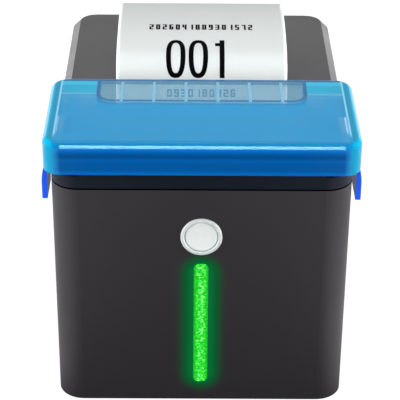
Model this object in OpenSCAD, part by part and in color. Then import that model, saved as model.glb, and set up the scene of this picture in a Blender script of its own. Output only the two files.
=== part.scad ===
// Counter-top ticket printer with a drop-in paper roll, a guillotine cutter and a clip-on splash hood.
// Millimetres. +Z is up, the front looks along -Y, and the feet stand on Z = 0.

/* [Body] */
// Width of the body
body_w = 133; // [126:1:150]
// Depth of the body, front face to rear face
body_d = 174; // [160:1:196]
// Height of the seam between the lower body and the top pieces
seam_z = 115; // [108:0.5:126]
// Height of the top pieces above the seam
top_h = 10; // [9.5:0.25:12]
// Height of the open groove at the seam
seam_gap = 0.8; // [0.4:0.1:1.2]
// Plan radius of the upright corners
corner_r = 12; // [8:0.5:16]
// Wall of the body shell
body_wall = 2.5; // [2:0.1:3]
// Wall of the cutter cover and of the lid's skirt
top_wall = 2.2; // [1.8:0.1:2.6]
// Width of the bevel along the two sides of the top
bevel = 3.8; // [2:0.2:4.4]
// Height of the feet below the body
foot_h = 2; // [1.5:0.25:4]
// Diameter of a foot
foot_d = 14; // [10:0.5:18]
// Thickness of the base pan
base_t = 2.5; // [2:0.25:3.5]

/* [Front controls] */
// Height of the button's centre
button_z = 91.2; // [88:0.2:94]
// Diameter of the button's ring
ring_d = 18.6; // [17:0.2:20]
// Diameter of the button's cap
cap_d = 14.6; // [12:0.2:15]
// How far the ring stands out of the front
ring_proud = 1.2; // [0.4:0.1:1.6]
// Travel of the button
button_travel = 1.2; // [0.6:0.1:1.4]
// Width of the light bar
bar_w = 6.6; // [5:0.2:9]
// Height of the light bar's lower end
bar_low = 12.4; // [10:0.2:20]
// Height of the light bar's upper end
bar_high = 76.9; // [60:0.5:77]
// Corner radius of the light bar
bar_r = 2.4; // [1:0.1:2.4]

/* [Splash hood] */
// Height of the hood's roof above the lid
hood_rise = 14.5; // [13:0.5:19]
// How far the hood's skirt hangs below the lid's top
hood_lap = 0.7; // [0.5:0.1:2]
// How far the hood stands out ahead of the body's front
hood_reach = 4; // [3:0.25:6]
// Wall of the hood
hood_wall = 1.6; // [1.2:0.1:2]
// Gap from the body's side to the hood's wall
hood_gap = 1; // [0.5:0.1:1.5]
// Radius along the hood's upper edge
hood_edge = 3; // [2.2:0.1:3.6]
// Plan radius of the hood's upright corners
hood_corner = 8; // [4.2:0.2:9]
// Depth of the paper mouth's wall under the roof
mouth_h = 7; // [5:0.5:8]
// Gap from the paper's edge to the side of the paper mouth
mouth_side = 6.2; // [5:0.2:9]
// Distance from the body's front to the wall of the paper mouth
mouth_front = 38.8; // [32:0.2:42]
// Number of guide ribs under the roof
rib_count = 6; // [4:1:8]
// Spacing of the guide ribs
rib_pitch = 14.5; // [8:0.5:14.5]
// Height of a guide rib at its front
rib_h = 3.5; // [2:0.25:5]
// Length of a side tab, front to back
tab_len = 18; // [12:1:24]
// How far a side tab flares outwards
tab_flare = 1.3; // [0.8:0.1:3]
// Length of a side tab below the skirt
tab_drop = 21.9; // [16:0.1:26]

/* [Paper] */
// Width of the paper
paper_w = 80; // [76:0.5:80]
// Thickness of the paper
paper_t = 0.15; // [0.1:0.01:0.2]
// Gap from the roll to its cradle, small for a full roll
roll_gap = 2; // [1:0.5:14]
// Diameter of the roll's core
core_d = 18; // [14:0.5:26]
// Wall of the core
core_wall = 2; // [1.5:0.25:3]
// Angle at which the ticket leans back behind the hood
ticket_lean = 29; // [26:0.5:31]
// Length of the ticket's straight rise
ticket_rise = 17; // [14:0.5:18]
// Radius of the bend over which the ticket folds back
ticket_bend = 14; // [12:0.5:16]
// Radius of the ticket's long curl
ticket_curl = 114.6; // [100:1:130]

/* [Mechanism] */
// Thickness of the gears
gear_t = 5; // [4:0.25:5]
// Radius of the platen's rubber
platen_r = 6.5; // [6:0.1:6.5]
// Radius of the platen's shaft
shaft_r = 2.5; // [2:0.1:2.8]
// Sheet of the mechanism frame
frame_t = 1.5; // [1.2:0.1:1.8]
// Travel of the cutter blade
cut_travel = 4; // [3.8:0.1:4]
// Thickness of the cutter blade
blade_t = 1; // [0.6:0.1:1]
// Radius of the lid's hinge pin
pin_r = 1.5; // [1.2:0.1:1.5]

/* [Hidden] */

$fn = 64;
// Clearance between pieces that move past each other
run = 0.3;
// Clearance of a shaft in its bore
fit = 0.05;
// Clearance round a piece that drops into a cut-out
drop = 0.2;
// Length added to a cutter so that it passes the face it cuts
past = 1;

// The footprint box, hood included, is centred on the origin.
front_y = (hood_reach - body_d) / 2;
rear_y = front_y + body_d;
half_w = body_w / 2;
paper_half = paper_w / 2;
lid_top = seam_z + top_h;
inner_half = half_w - body_wall;
floor_z = foot_h + base_t;

// Top pieces: the cover rests on the rim, and the lid closes just above it.
rim_z = seam_z + seam_gap / 2;
lid_bottom = rim_z + run;
top_t = 2.6;
// Paper slot between the cover and the lid
slot_y = front_y + 61.4;
slot_half = 1.8;
cover_rear = slot_y - slot_half;
lid_front = slot_y + slot_half;
// The lid's upper lip leans over the blade's path, and the ticket rests on its round edge.
lip_front = slot_y + 0.55;
slot_round = 4;

// Lid hinge: the rear edge is a half round about the pin.
hinge_r = (lid_top - lid_bottom) / 2;
hinge_y = rear_y - hinge_r;
hinge_z = lid_bottom + hinge_r;
ear_r = 2.9;
ear_w = 5.4;
ear_x = 41;
pin_half = 50;

// Cutter: the moving blade slides just above the fixed one.
blade_z = lid_bottom + run;
blade_half = paper_half + 4;
blade_rest = slot_y - 2.8;
blade_len = 28.6;
cut_plate_t = 1.8;
cut_plate_z = lid_bottom - cut_plate_t;
fixed_front = slot_y + 0.55;
fixed_t = 1.1;
carriage_t = 2;

// Nip: the head leans forward so that the platen can lift out.
nip_lean = 8;
nip_drop = 9.7;
nip_z = lid_bottom - nip_drop;
nip_y = slot_y + nip_drop * tan(nip_lean);
nip_gap = 0.2;
knee_drop = 6;
platen_off = paper_t / 2 + nip_gap + platen_r;
platen_y = nip_y + platen_off * cos(nip_lean);
platen_z = nip_z + platen_off * sin(nip_lean);

// Mechanism frame: a folded steel tray that carries head, motors and cutter.
holder_half = paper_half + 4.4;
bush_r = 4.5;
bush_w = 2.4;
bush_gap = 0.7;
frame_half = holder_half + bush_w + bush_gap;
frame_in = frame_half - frame_t;
frame_low = cut_plate_z - 41.9;
frame_front = front_y + 26;
frame_rear = platen_y + 9.4;
bush_x = frame_half + run - bush_w;

// Gear train down the left side, in one line from the platen to the motor.
// The platen's gear is small enough to swing clear of the hood as the lid opens.
gear_m = 0.8;
idler_teeth = 20;
pinion_teeth = 14;
train = [-0.8, -0.6];
idler_r = gear_m * idler_teeth / 2;
pinion_r = gear_m * pinion_teeth / 2;
gear_x = -(frame_half + 1.5 + gear_t);
idler_y = platen_y + (idler_r + pinion_r) * train[0];
idler_z = platen_z + (idler_r + pinion_r) * train[1];
motor_y = idler_y + (idler_r + pinion_r) * train[0];
motor_z = idler_z + (idler_r + pinion_r) * train[1];
train_angle = atan2(train[1], train[0]);
motor_r = 11;
motor_len = 26;
idler_axle_r = 2;
spindle_r = 1.5;

// Cutter drive: a pinion on an upright spindle and a rack on the carriage
rack_x = 30;
cut_x = rack_x - pinion_r;
cut_y = front_y + 40;
cut_motor_r = 8;
cut_motor_h = 15;

// The bay's sides guide the roll's ends, and the main board lies between them.
bay_in = paper_half + 1.5;

// Rear connectors stand on the main board. Sizes are width, depth and height.
board_t = 1.6;
board_z = floor_z + 4.5;
board_top = board_z + board_t;
board_x0 = 2.5 - bay_in;
board_x1 = bay_in - 1.5;
board_y1 = rear_y - body_wall - 3.5;
board_y0 = board_y1 - 76;
port_y = rear_y - body_wall + 1;
switch_in = 21;
switch_x = switch_in - half_w;
inlet_step = 15.5;
inlet_x = switch_x + inlet_step;
usb_x = -8;
lan_x = 12;
drawer_x = 31;
inlet_size = [14, 14, 12.5];
usb_size = [12, 16.5, 11];
lan_size = [16, 21, 13.5];
drawer_size = [13.2, 16, 12.5];

// Paper bay: the roll's cradle fills the depth or the height that is free, whichever is less.
bay_wall = 2;
bay_out = bay_in + bay_wall;
bay_front = frame_rear + 3.1;
bay_rear = rear_y - 12;
bay_low = board_top + lan_size[2] + 3.9;
lid_rib_h = 2.4;
bay_high = lid_top - top_t - lid_rib_h - 2;
bay_top = seam_z - 11;
cradle_r = min(bay_rear - bay_front, bay_high - bay_low) / 2;
cradle_y = bay_front + cradle_r;
cradle_z = bay_low + cradle_r;
roll_r = cradle_r - roll_gap;
roll_y = cradle_y;
roll_z = bay_low + roll_r + run;

// Power switch in the rear wall
switch_z = 27;
switch_w = 13;
switch_h = 19;
switch_d = 15;
switch_flange = 1.2;
rocker_w = 9;
rocker_h = 14;
rocker_pivot_r = 1.2;
rocker_pivot_l = 1.2;
rocker_y = rear_y - 4.5;

// Lid release key in the right wall
key_y = front_y + 16 / 29 * body_d;
key_z = seam_z - 11;
key_w = 15;
key_h = 10;
key_travel = 2.5;
key_hook = 13;

// Button stack, front to back
ring_flange = 2;
ring_flange_t = 1.2;
cap_recess = 0.5;
cap_flange = 0.9;
stem_r = 2.5;
stem_end = front_y + 7.1;
switch_front = front_y + 8.5;
button_board_y = front_y + 12;
post_r = 2.4;
post_x = 14.5;
plunger_r = 1.75;

// Light bar stack
bar_proud = 0.3;
bar_flange = 1.5;
light_board_y = front_y + 7;
light_post_x = 9.5;
chip_count = 10;

// Hood
hood_half = half_w + hood_gap + hood_wall;
hood_front = front_y - hood_reach;
hood_rear = slot_y + 1.1;
hood_roof = lid_top + hood_rise;
hood_skirt = lid_top - hood_lap;
hood_rear_low = hood_roof - 8.5;
mouth_half = paper_half + mouth_side;
mouth_y = front_y + mouth_front;
mouth_wall = 1.8;
tab_front = front_y + 14;
tab_t = 2.4;
tab_low = hood_skirt - tab_drop;
post_t = 1.6;
post_in = 9.8;

// Ticket
ticket_low = blade_z + blade_t + run;
ticket_foot = 1.9;
ticket_turn = 10;
ticket_flat = 16;
ticket_end = -9.2;

// Base screws
screw_x = inner_half - 7;
screw_front = front_y + 12;
screw_rear = rear_y - 12;
boss_r = 4;
boss_h = 12;
screw_r = 1.5;
screw_head_r = 2.8;
screw_head_t = 1.4;
foot_in = 20;

// A block given by its two corners
module block(lo, hi) {
    translate(lo) cube(hi - lo);
}

// A plan outline with round corners
module plan(lo, hi, r) {
    translate([lo[0] + r, lo[1]]) square([hi[0] - lo[0] - 2 * r, hi[1] - lo[1]]);
    translate([lo[0], lo[1] + r]) square([hi[0] - lo[0], hi[1] - lo[1] - 2 * r]);
    for (x = [lo[0] + r, hi[0] - r], y = [lo[1] + r, hi[1] - r]) translate([x, y]) circle(r);
}

// Extrudes a profile drawn in Y and Z along X
module along_x(x0, x1) {
    translate([x0, 0, 0]) rotate([90, 0, 90]) linear_extrude(x1 - x0) children();
}

// Extrudes a profile drawn in X and Z along Y
module along_y(y0, y1) {
    translate([0, y1, 0]) rotate([90, 0, 0]) linear_extrude(y1 - y0) children();
}

// A rod along X
module rod_x(r, x0, x1, y, z) {
    translate([x0, y, z]) rotate([0, 90, 0]) cylinder(h = x1 - x0, r = r);
}

// A rod along Y
module rod_y(r, y0, y1, x, z) {
    translate([x, y1, z]) rotate([90, 0, 0]) cylinder(h = y1 - y0, r = r);
}

// Puts a copy on the left and on the right
module both_sides() {
    children();
    mirror([1, 0, 0]) children();
}

// A round-cornered block whose upper edge is rounded too
module domed(lo, hi, r, edge) {
    inset = [edge, edge];
    lo2 = [lo[0], lo[1]];
    hi2 = [hi[0], hi[1]];
    shoulder = hi[2] - edge;
    translate([0, 0, lo[2]]) linear_extrude(shoulder - lo[2]) plan(lo2, hi2, r);
    translate([0, 0, shoulder]) linear_extrude(edge) plan(lo2 + inset, hi2 - inset, r - edge);
    for (x = [0, 1], y = [0, 1])
        translate([x ? hi[0] - r : lo[0] + r, y ? hi[1] - r : lo[1] + r, shoulder])
            rotate([0, 0, x ? (y ? 0 : 270) : (y ? 90 : 180)])
                rotate_extrude(angle = 90) edge_profile(r, edge);
    for (x = [0, 1])
        along_y(lo[1] + r, hi[1] - r)
            translate([x ? hi[0] - edge : lo[0] + edge, shoulder]) mirror([1 - x, 0]) rooted_quarter(edge);
    for (y = [0, 1])
        along_x(lo[0] + r, hi[0] - r)
            translate([y ? hi[1] - edge : lo[1] + edge, shoulder]) mirror([1 - y, 0]) rooted_quarter(edge);
}

// A quarter disc in the first quadrant
module quarter(r) {
    intersection() {
        circle(r);
        square(r);
    }
}

// The quarter disc with a root that reaches into the block below and the core behind
module rooted_quarter(r) {
    root = 0.4;
    quarter(r);
    translate([-root, -root]) square([root + r, root]);
    translate([-root, -root]) square([root, root + r]);
}

// The rooted quarter disc that a round corner sweeps
module edge_profile(r, edge) {
    translate([r - edge, 0]) rooted_quarter(edge);
}

// Involute gear outline with a tooth centred on +X, slightly thinned for backlash
function involute(base, a) = base * [cos(a) + a * PI / 180 * sin(a), sin(a) - a * PI / 180 * cos(a)];
function turned(p, a) = [p[0] * cos(a) - p[1] * sin(a), p[0] * sin(a) + p[1] * cos(a)];
function roll_angle(base, r) = sqrt(pow(r / base, 2) - 1) * 180 / PI;
function involute_lead(base, r) = roll_angle(base, r) - acos(base / r);
press_angle = 20;
tooth_top = 0.85;
tooth_root = 1.15;
tooth_slack = 0.06;
flank_steps = 4;
function tooth(teeth) =
    let (
        r = gear_m * teeth / 2,
        base = r * cos(press_angle),
        half = 90 / teeth - tooth_slack / r * 180 / PI / 2,
        tip = r + tooth_top * gear_m,
        root = r - tooth_root * gear_m,
        lead = involute_lead(base, r) + half,
        last = roll_angle(base, tip),
        flank = [for (i = [0:flank_steps]) turned(involute(base, last * i / flank_steps), -lead)]
    ) concat(
        [root * [cos(lead), -sin(lead)]],
        flank,
        [for (i = [flank_steps:-1:0]) [flank[i][0], -flank[i][1]]],
        [root * [cos(lead), sin(lead)]]
    );
module gear_plan(teeth) {
    polygon([for (k = [0:teeth - 1]) each [for (p = tooth(teeth)) turned(p, 360 * k / teeth)]]);
}

// A gear on an axle along X, with a tooth in the direction angle of the Y-Z plane
module gear_x_at(teeth, x0, y, z, angle, bore) {
    translate([x0, y, z]) rotate([90, 0, 90]) difference() {
        linear_extrude(gear_t) rotate(angle) gear_plan(teeth);
        translate([0, 0, -past]) cylinder(h = gear_t + 2 * past, r = bore);
    }
}

// The nip's own frame: local Z runs along the paper, local Y points at the platen
module at_nip() {
    translate([0, nip_y, nip_z]) rotate([nip_lean, 0, 0]) children();
}

// The bevel's section over an edge at x = 0
module bevel_cut() {
    polygon([[-bevel, 0], [past, -bevel - past], [past, past], [-bevel, past]]);
}

// The bevels along the sides of the top, which follow the round corners
module side_bevels() {
    both_sides() {
        along_y(front_y + corner_r, rear_y - corner_r) translate([half_w, lid_top]) bevel_cut();
        for (end = [0, 1])
            translate([half_w - corner_r, end ? rear_y - corner_r : front_y + corner_r, lid_top])
                rotate([0, 0, end ? 0 : 270])
                    rotate_extrude(angle = 90) translate([corner_r, 0]) bevel_cut();
    }
}

// Body

module shell_plan(inset) {
    plan([-half_w + inset, front_y + inset], [half_w - inset, rear_y - inset], corner_r - inset);
}

// The light bar's outline, in X and Z, grown all round
module bar_plan(grow) {
    plan([-bar_w / 2 - grow, bar_low - grow], [bar_w / 2 + grow, bar_high + grow], bar_r + grow);
}

// A connector's cut-out in the rear wall
module port_window(x, size) {
    block(
        [x - size[0] / 2 - drop, rear_y - body_wall - past, board_top - drop],
        [x + size[0] / 2 + drop, rear_y + past, board_top + size[2] + drop]
    );
}

module hinge_ear() {
    ear_down = 10;
    gusset = 6;
    along_x(ear_x - ear_w / 2, ear_x + ear_w / 2) difference() {
        union() {
            translate([hinge_y, hinge_z]) circle(ear_r);
            translate([hinge_y - ear_r, seam_z - ear_down]) square([2 * ear_r, hinge_z - seam_z + ear_down]);
            polygon([
                [hinge_y - ear_r, seam_z - ear_down],
                [rear_y - body_wall, seam_z - ear_down - gusset],
                [rear_y - body_wall, seam_z - 2]
            ]);
        }
        translate([hinge_y, hinge_z]) circle(pin_r);
    }
}

module screw_boss(y) {
    translate([screw_x, y, floor_z]) cylinder(h = boss_h, r = boss_r);
    block([screw_x, y - 1, floor_z], [inner_half + 0.5, y + 1, floor_z + boss_h]);
}

module body_shell() {
    color("#363136") difference() {
        union() {
            translate([0, 0, foot_h]) linear_extrude(seam_z - seam_gap / 2 - foot_h) difference() {
                shell_plan(0);
                shell_plan(body_wall);
            }
            translate([0, 0, seam_z - past]) linear_extrude(rim_z - seam_z + past) difference() {
                shell_plan(body_wall / 2);
                shell_plan(body_wall);
            }
            both_sides() hinge_ear();
            both_sides() for (y = [screw_front, screw_rear]) screw_boss(y);
            for (x = [-post_x, post_x]) rod_y(post_r, front_y + 1, button_board_y, x, button_z);
            for (x = [-light_post_x, light_post_x], z = [bar_low + 8, bar_high - 8])
                rod_y(post_r, front_y + 1, light_board_y, x, z);
        }
        rod_y(ring_d / 2, front_y - past, front_y + body_wall + past, 0, button_z);
        along_y(front_y - past, front_y + body_wall + past) bar_plan(0);
        port_window(inlet_x, inlet_size);
        port_window(usb_x, usb_size);
        port_window(lan_x, lan_size);
        port_window(drawer_x, drawer_size);
        block(
            [switch_x - switch_w / 2 - drop, rear_y - body_wall - past, switch_z - switch_h / 2 - drop],
            [switch_x + switch_w / 2 + drop, rear_y + past, switch_z + switch_h / 2 + drop]
        );
        block(
            [inner_half - past, key_y - key_w / 2 - run, key_z - key_h / 2 - run],
            [half_w + past, key_y + key_w / 2 + run, key_z + key_h / 2 + run]
        );
        both_sides() for (y = [screw_front, screw_rear])
            translate([screw_x, y, floor_z - past]) cylinder(h = boss_h, r = screw_r);
    }
}

module base_pan() {
    color("#2b2a2d") difference() {
        union() {
            translate([0, 0, foot_h]) linear_extrude(base_t) shell_plan(body_wall + drop);
            for (x = [board_x0 + 5, board_x1 - 5], y = [board_y0 + 5, board_y1 - 18])
                translate([x, y, floor_z - past]) cylinder(h = board_z - floor_z + past, r = 3);
        }
        both_sides() for (y = [screw_front, screw_rear]) {
            translate([screw_x, y, foot_h - past]) cylinder(h = base_t + 2 * past, r = screw_r + 0.2);
            translate([screw_x, y, foot_h - past])
                cylinder(h = screw_head_t + past, r = screw_head_r + drop);
        }
        both_sides() for (y = [front_y + foot_in, rear_y - foot_in])
            translate([half_w - foot_in, y, foot_h - past]) cylinder(h = past + 1, r = foot_d / 2 + drop);
        for (k = [-3:3])
            translate([8 * k - 1.5, front_y + 40, foot_h - past]) cube([3, 30, base_t + 2 * past]);
    }
}

module rubber_feet() {
    color("#1c1c1c") both_sides() for (y = [front_y + foot_in, rear_y - foot_in])
        translate([half_w - foot_in, y, 0]) rotate_extrude() polygon([
            [0, 0], [foot_d / 2 - 0.8, 0], [foot_d / 2, 0.8], [foot_d / 2, foot_h + 1], [0, foot_h + 1]
        ]);
}

module base_screws() {
    cross_l = 3.6;
    cross_w = 0.7;
    cross_d = 0.8;
    color("#b8b8b8") both_sides() for (y = [screw_front, screw_rear])
        translate([screw_x, y, foot_h]) difference() {
            union() {
                cylinder(h = screw_head_t, r = screw_head_r);
                cylinder(h = base_t + boss_h - past - 1, r = screw_r);
            }
            for (a = [0, 90]) rotate(a)
                translate([-cross_l / 2, -cross_w / 2, -past]) cube([cross_l, cross_w, past + cross_d]);
        }
}

module cutter_cover() {
    color("#28272b") difference() {
        translate([0, 0, rim_z]) linear_extrude(lid_top - rim_z) intersection() {
            shell_plan(0);
            translate([-half_w, front_y]) square([body_w, cover_rear - front_y]);
        }
        translate([0, 0, rim_z - past]) linear_extrude(lid_top - top_wall - rim_z + past) intersection() {
            shell_plan(bevel);
            translate([-half_w, front_y]) square([body_w, cover_rear - top_wall - front_y]);
        }
        block(
            [-blade_half - 1.5, cover_rear - top_wall - past, rim_z - past],
            [blade_half + 1.5, cover_rear + past, blade_z + blade_t + carriage_t / 2]
        );
        side_bevels();
    }
}

// Paper bay

module bay_side_plan() {
    bay_back = cradle_y + cradle_r + 3;
    switch_room = rear_y - switch_d - 9;
    switch_top = switch_z + switch_h / 2;
    difference() {
        polygon([
            [frame_front, floor_z], [switch_room, floor_z], [switch_room, switch_top],
            [bay_back, switch_top + bay_back - switch_room], [bay_back, bay_top],
            [bay_front + 2, frame_low + 10], [bay_front - 3, frame_low], [frame_front, frame_low]
        ]);
        translate([cradle_y, cradle_z]) circle(cradle_r / 2);
        for (k = [0:2]) translate([frame_front + 8 + 13 * k, floor_z + 12])
            square([9, frame_low - floor_z - 24]);
    }
}

module paper_bay() {
    front_lip = 196;
    shelf_t = 3;
    color("#3a3a3e") {
        both_sides() along_x(bay_in, bay_out) bay_side_plan();
        along_x(-bay_in, bay_in) {
            difference() {
                translate([cradle_y, cradle_z]) intersection() {
                    difference() {
                        circle(cradle_r + bay_wall);
                        circle(cradle_r);
                    }
                    polygon([
                        [0, 0], 2 * cradle_r * [cos(front_lip), sin(front_lip)],
                        [-2 * cradle_r, -2 * cradle_r], [2 * cradle_r, -2 * cradle_r], [2 * cradle_r, 0]
                    ]);
                }
            }
            translate([cradle_y + cradle_r, cradle_z]) square([bay_wall, bay_top - cradle_z]);
            translate([frame_front, frame_low - shelf_t]) square([frame_rear - 16 - frame_front, shelf_t]);
        }
    }
}

module paper_roll() {
    color("white") difference() {
        rod_x(roll_r, -paper_w / 2, paper_w / 2, roll_y, roll_z);
        rod_x(core_d / 2, -paper_w / 2 - past, paper_w / 2 + past, roll_y, roll_z);
    }
}

module roll_core() {
    color("#9a8a70") difference() {
        rod_x(core_d / 2, -paper_w / 2, paper_w / 2, roll_y, roll_z);
        rod_x(core_d / 2 - core_wall, -paper_w / 2 - past, paper_w / 2 + past, roll_y, roll_z);
    }
}

// The web leaves the roll at its lower front, touches the head and ends at the cut.
module paper_web() {
    knee = [nip_y, nip_z] + knee_drop * [sin(nip_lean), -cos(nip_lean)];
    reach = knee - [roll_y, roll_z];
    leave = atan2(reach[1], reach[0]) + acos((roll_r + run) / norm(reach));
    start = [roll_y, roll_z] + (roll_r + run) * [cos(leave), sin(leave)];
    end = [slot_y, blade_z - run];
    t = paper_t / 2 * [1, 0];
    color("white") along_x(-paper_w / 2, paper_w / 2)
        polygon([start - t, knee - t, end - t, end + t, knee + t, start + t]);
}

// The ticket rises in the slot, leans back, folds over and curls down.
function arc_points(from, a0, a1, r, steps) = [
    for (i = [1:steps]) let (a = a0 + (a1 - a0) * i / steps)
        from + r * [sign(a0 - a1) * (sin(a0) - sin(a)), sign(a0 - a1) * (cos(a) - cos(a0))]
];
function ticket_path() =
    let (
        p0 = [slot_y, ticket_low],
        p1 = p0 + [0, ticket_foot],
        first = arc_points(p1, 90, 90 - ticket_lean, ticket_turn, 6),
        p2 = first[len(first) - 1],
        p3 = p2 + ticket_rise * [sin(ticket_lean), cos(ticket_lean)],
        second = arc_points(p3, 90 - ticket_lean, ticket_flat, ticket_bend, 8),
        third = arc_points(second[len(second) - 1], ticket_flat, ticket_end, ticket_curl, 12)
    ) concat([p0, p1], first, [p3], second, third);
function side_step(path, i) =
    let (
        a = path[max(i - 1, 0)],
        b = path[min(i + 1, len(path) - 1)],
        d = (b - a) / norm(b - a)
    ) paper_t / 2 * [-d[1], d[0]];
module ticket() {
    path = ticket_path();
    last = len(path) - 1;
    color("white") along_x(-paper_w / 2, paper_w / 2) polygon(concat(
        [for (i = [0:last]) path[i] + side_step(path, i)],
        [for (i = [last:-1:0]) path[i] - side_step(path, i)]
    ));
}

// Mechanism

module frame_side_plan() {
    notch_lead = 1.3;
    difference() {
        translate([frame_front, frame_low]) square([frame_rear - frame_front, cut_plate_z - frame_low]);
        translate([platen_y, platen_z]) circle(bush_r + run);
        translate([platen_y - bush_r - notch_lead, platen_z])
            square([2 * bush_r + run + notch_lead, cut_plate_z - platen_z + past]);
        translate([motor_y, motor_z]) circle(spindle_r + 1);
        translate([frame_rear - 18, frame_low - past]) square([19, 18]);
    }
}

module mechanism_frame() {
    color("#aeb2b5") difference() {
        union() {
            both_sides() along_x(frame_in, frame_half) frame_side_plan();
            block(
                [-frame_half, frame_front, frame_low],
                [frame_half, frame_rear - 18, frame_low + frame_t]
            );
            block(
                [-frame_half, frame_front, frame_low],
                [frame_half, frame_front + frame_t, frame_low + 22]
            );
            rod_x(idler_axle_r, gear_x - 1, -frame_in, idler_y, idler_z);
        }
        rod_x(spindle_r, -frame_half - past, frame_half + past, head_pivot()[0], head_pivot()[1]);
    }
}

// Print head
strip_t = 0.8;
strip_gap = 0.05;
head_t = 4;
head_half = paper_half + 3.5;
head_up = 5;
head_down = 24;
pivot_down = 21;
head_face = -(paper_t / 2 + strip_gap);
function head_pivot() =
    let (y = head_face - strip_t - head_t / 2, z = -pivot_down)
    [nip_y + y * cos(nip_lean) - z * sin(nip_lean), nip_z + y * sin(nip_lean) + z * cos(nip_lean)];

module head_plate() {
    fins = 9;
    fin_pitch = 9;
    fin_slot = 5;
    fin_deep = 1.5;
    color("#c8cacb") difference() {
        at_nip() difference() {
            block(
                [-head_half, head_face - strip_t - head_t, -head_down],
                [head_half, head_face - strip_t, head_up]
            );
            for (k = [0:fins - 1]) translate([
                (k - (fins - 1) / 2) * fin_pitch - fin_slot / 2, head_face - strip_t - head_t - past, 8 - head_down
            ]) cube([fin_slot, past + fin_deep, head_down + head_up]);
        }
        rod_x(spindle_r + fit, -head_half - past, head_half + past, head_pivot()[0], head_pivot()[1]);
    }
}

module head_strip() {
    strip_half = paper_half + 2;
    strip_down = 8;
    color("#e8e4d8") at_nip() block(
        [-strip_half, head_face - strip_t, -strip_down], [strip_half, head_face, head_up]
    );
}

module head_pin() {
    color("#c0c4c6") rod_x(spindle_r, -frame_half, frame_half, head_pivot()[0], head_pivot()[1]);
}

// Two leaf springs fold up from the frame's floor and press the head's back.
module head_spring() {
    leaf_t = 0.5;
    foot = [nip_y - 16, frame_low + frame_t];
    lift = [nip_y - 5.1, nip_z - 4];
    color("#b5a67c") for (x = [-12, 4]) along_x(x, x + 8) polygon([
        foot, foot + [6, 0], lift + [leaf_t, 0], lift, foot + [6 - leaf_t, leaf_t], foot + [0, leaf_t]
    ]);
}

module feed_motor() {
    color("#8e9194") difference() {
        union() {
            rod_x(motor_r, -frame_in, -frame_in + motor_len, motor_y, motor_z);
            rod_x(motor_r * 0.4, -frame_in + motor_len, -frame_in + motor_len + 2, motor_y, motor_z);
        }
        rod_x(spindle_r + fit, -frame_in - past, -frame_in + 12, motor_y, motor_z);
    }
}

module motor_pinion() {
    color("#d8d4c4") {
        gear_x_at(
            pinion_teeth, gear_x, motor_y, motor_z, train_angle + 180 + 180 / pinion_teeth, spindle_r / 2
        );
        rod_x(spindle_r, gear_x - 0.5, -frame_in + 10, motor_y, motor_z);
    }
}

module idler_gear() {
    color("#e6e2d2") gear_x_at(idler_teeth, gear_x, idler_y, idler_z, train_angle, idler_axle_r + fit);
}

module cutter_plate() {
    color("#b6babc") difference() {
        block(
            [-frame_half, frame_front, cut_plate_z],
            [frame_half, slot_y - 5, cut_plate_z + cut_plate_t]
        );
        translate([cut_x, cut_y, cut_plate_z - past]) cylinder(h = cut_plate_t + 2 * past, r = 3);
        for (x = [-24, 2]) block(
            [x, frame_front + 6, cut_plate_z - past], [x + 10, frame_front + 20, lid_bottom + past]
        );
    }
}

module cutter_blade() {
    color("#d5d8da") difference() {
        block([-blade_half, blade_rest - blade_len, blade_z], [blade_half, blade_rest, blade_z + blade_t]);
        block([-1.5, blade_rest - 1.2, blade_z - past], [1.5, blade_rest + past, blade_z + blade_t + past]);
        translate([cut_x, cut_y, blade_z - past]) linear_extrude(blade_t + 2 * past) plan(
            [-3.2, -3.2 - cut_travel], [3.2, 3.2], 3
        );
    }
}

// Rack of straight-flanked teeth with a gap level with the pinion's centre
module rack_plan(count) {
    pitch = PI * gear_m;
    slope = tan(press_angle);
    low = tooth_root * gear_m;
    high = tooth_top * gear_m;
    half = pitch / 4 - tooth_slack / 2;
    root = 1;
    end = count * pitch;
    translate([rack_x, cut_y]) polygon(concat(
        [[low + root, -end], [low, -end]],
        [for (k = [-count:count - 1]) let (y = (k + 0.5) * pitch) each [
            [low, y - half - low * slope], [-high, y - half + high * slope],
            [-high, y + half - high * slope], [low, y + half + low * slope]
        ]],
        [[low, end], [low + root, end]]
    ));
}

module blade_carriage() {
    room = pinion_r + tooth_top * gear_m + 0.6;
    rack_back = rack_x + tooth_root * gear_m + 0.5;
    color("#34343a") translate([0, 0, blade_z + blade_t]) {
        linear_extrude(carriage_t) difference() {
            plan([-20, cut_y - room - cut_travel - 3], [rack_back + 6, blade_rest - 6], 2);
            translate([cut_x - room, cut_y - room - cut_travel])
                square([rack_back - cut_x + room, 2 * room + cut_travel]);
        }
        linear_extrude(carriage_t) rack_plan(2);
    }
}

module cutter_motor() {
    color("#8e9194") translate([cut_x, cut_y, cut_plate_z - cut_motor_h]) difference() {
        cylinder(h = cut_motor_h, r = cut_motor_r);
        translate([0, 0, 4]) cylinder(h = cut_motor_h, r = spindle_r + fit);
    }
}

module cutter_pinion() {
    color("#d8d4c4") translate([cut_x, cut_y, 0]) {
        translate([0, 0, blade_z + blade_t + 0.1]) linear_extrude(carriage_t - 0.2) gear_plan(pinion_teeth);
        translate([0, 0, cut_plate_z - cut_motor_h + 5])
            cylinder(h = blade_z + blade_t + 1 - cut_plate_z + cut_motor_h - 5, r = spindle_r);
    }
}

// Lid

module lid_plan(inset) {
    intersection() {
        shell_plan(inset);
        translate([-half_w, lip_front]) square([body_w, rear_y - lip_front]);
    }
}

module ear_room() {
    low = hinge_r + past;
    both_sides() along_x(ear_x - ear_w / 2 - run, ear_x + ear_w / 2 + run) translate([hinge_y, hinge_z]) {
        circle(ear_r + run);
        translate([-ear_r - run, -low]) square([2 * (ear_r + run), low]);
        translate([0, -low]) square([low, low + ear_r + run]);
    }
}

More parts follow.
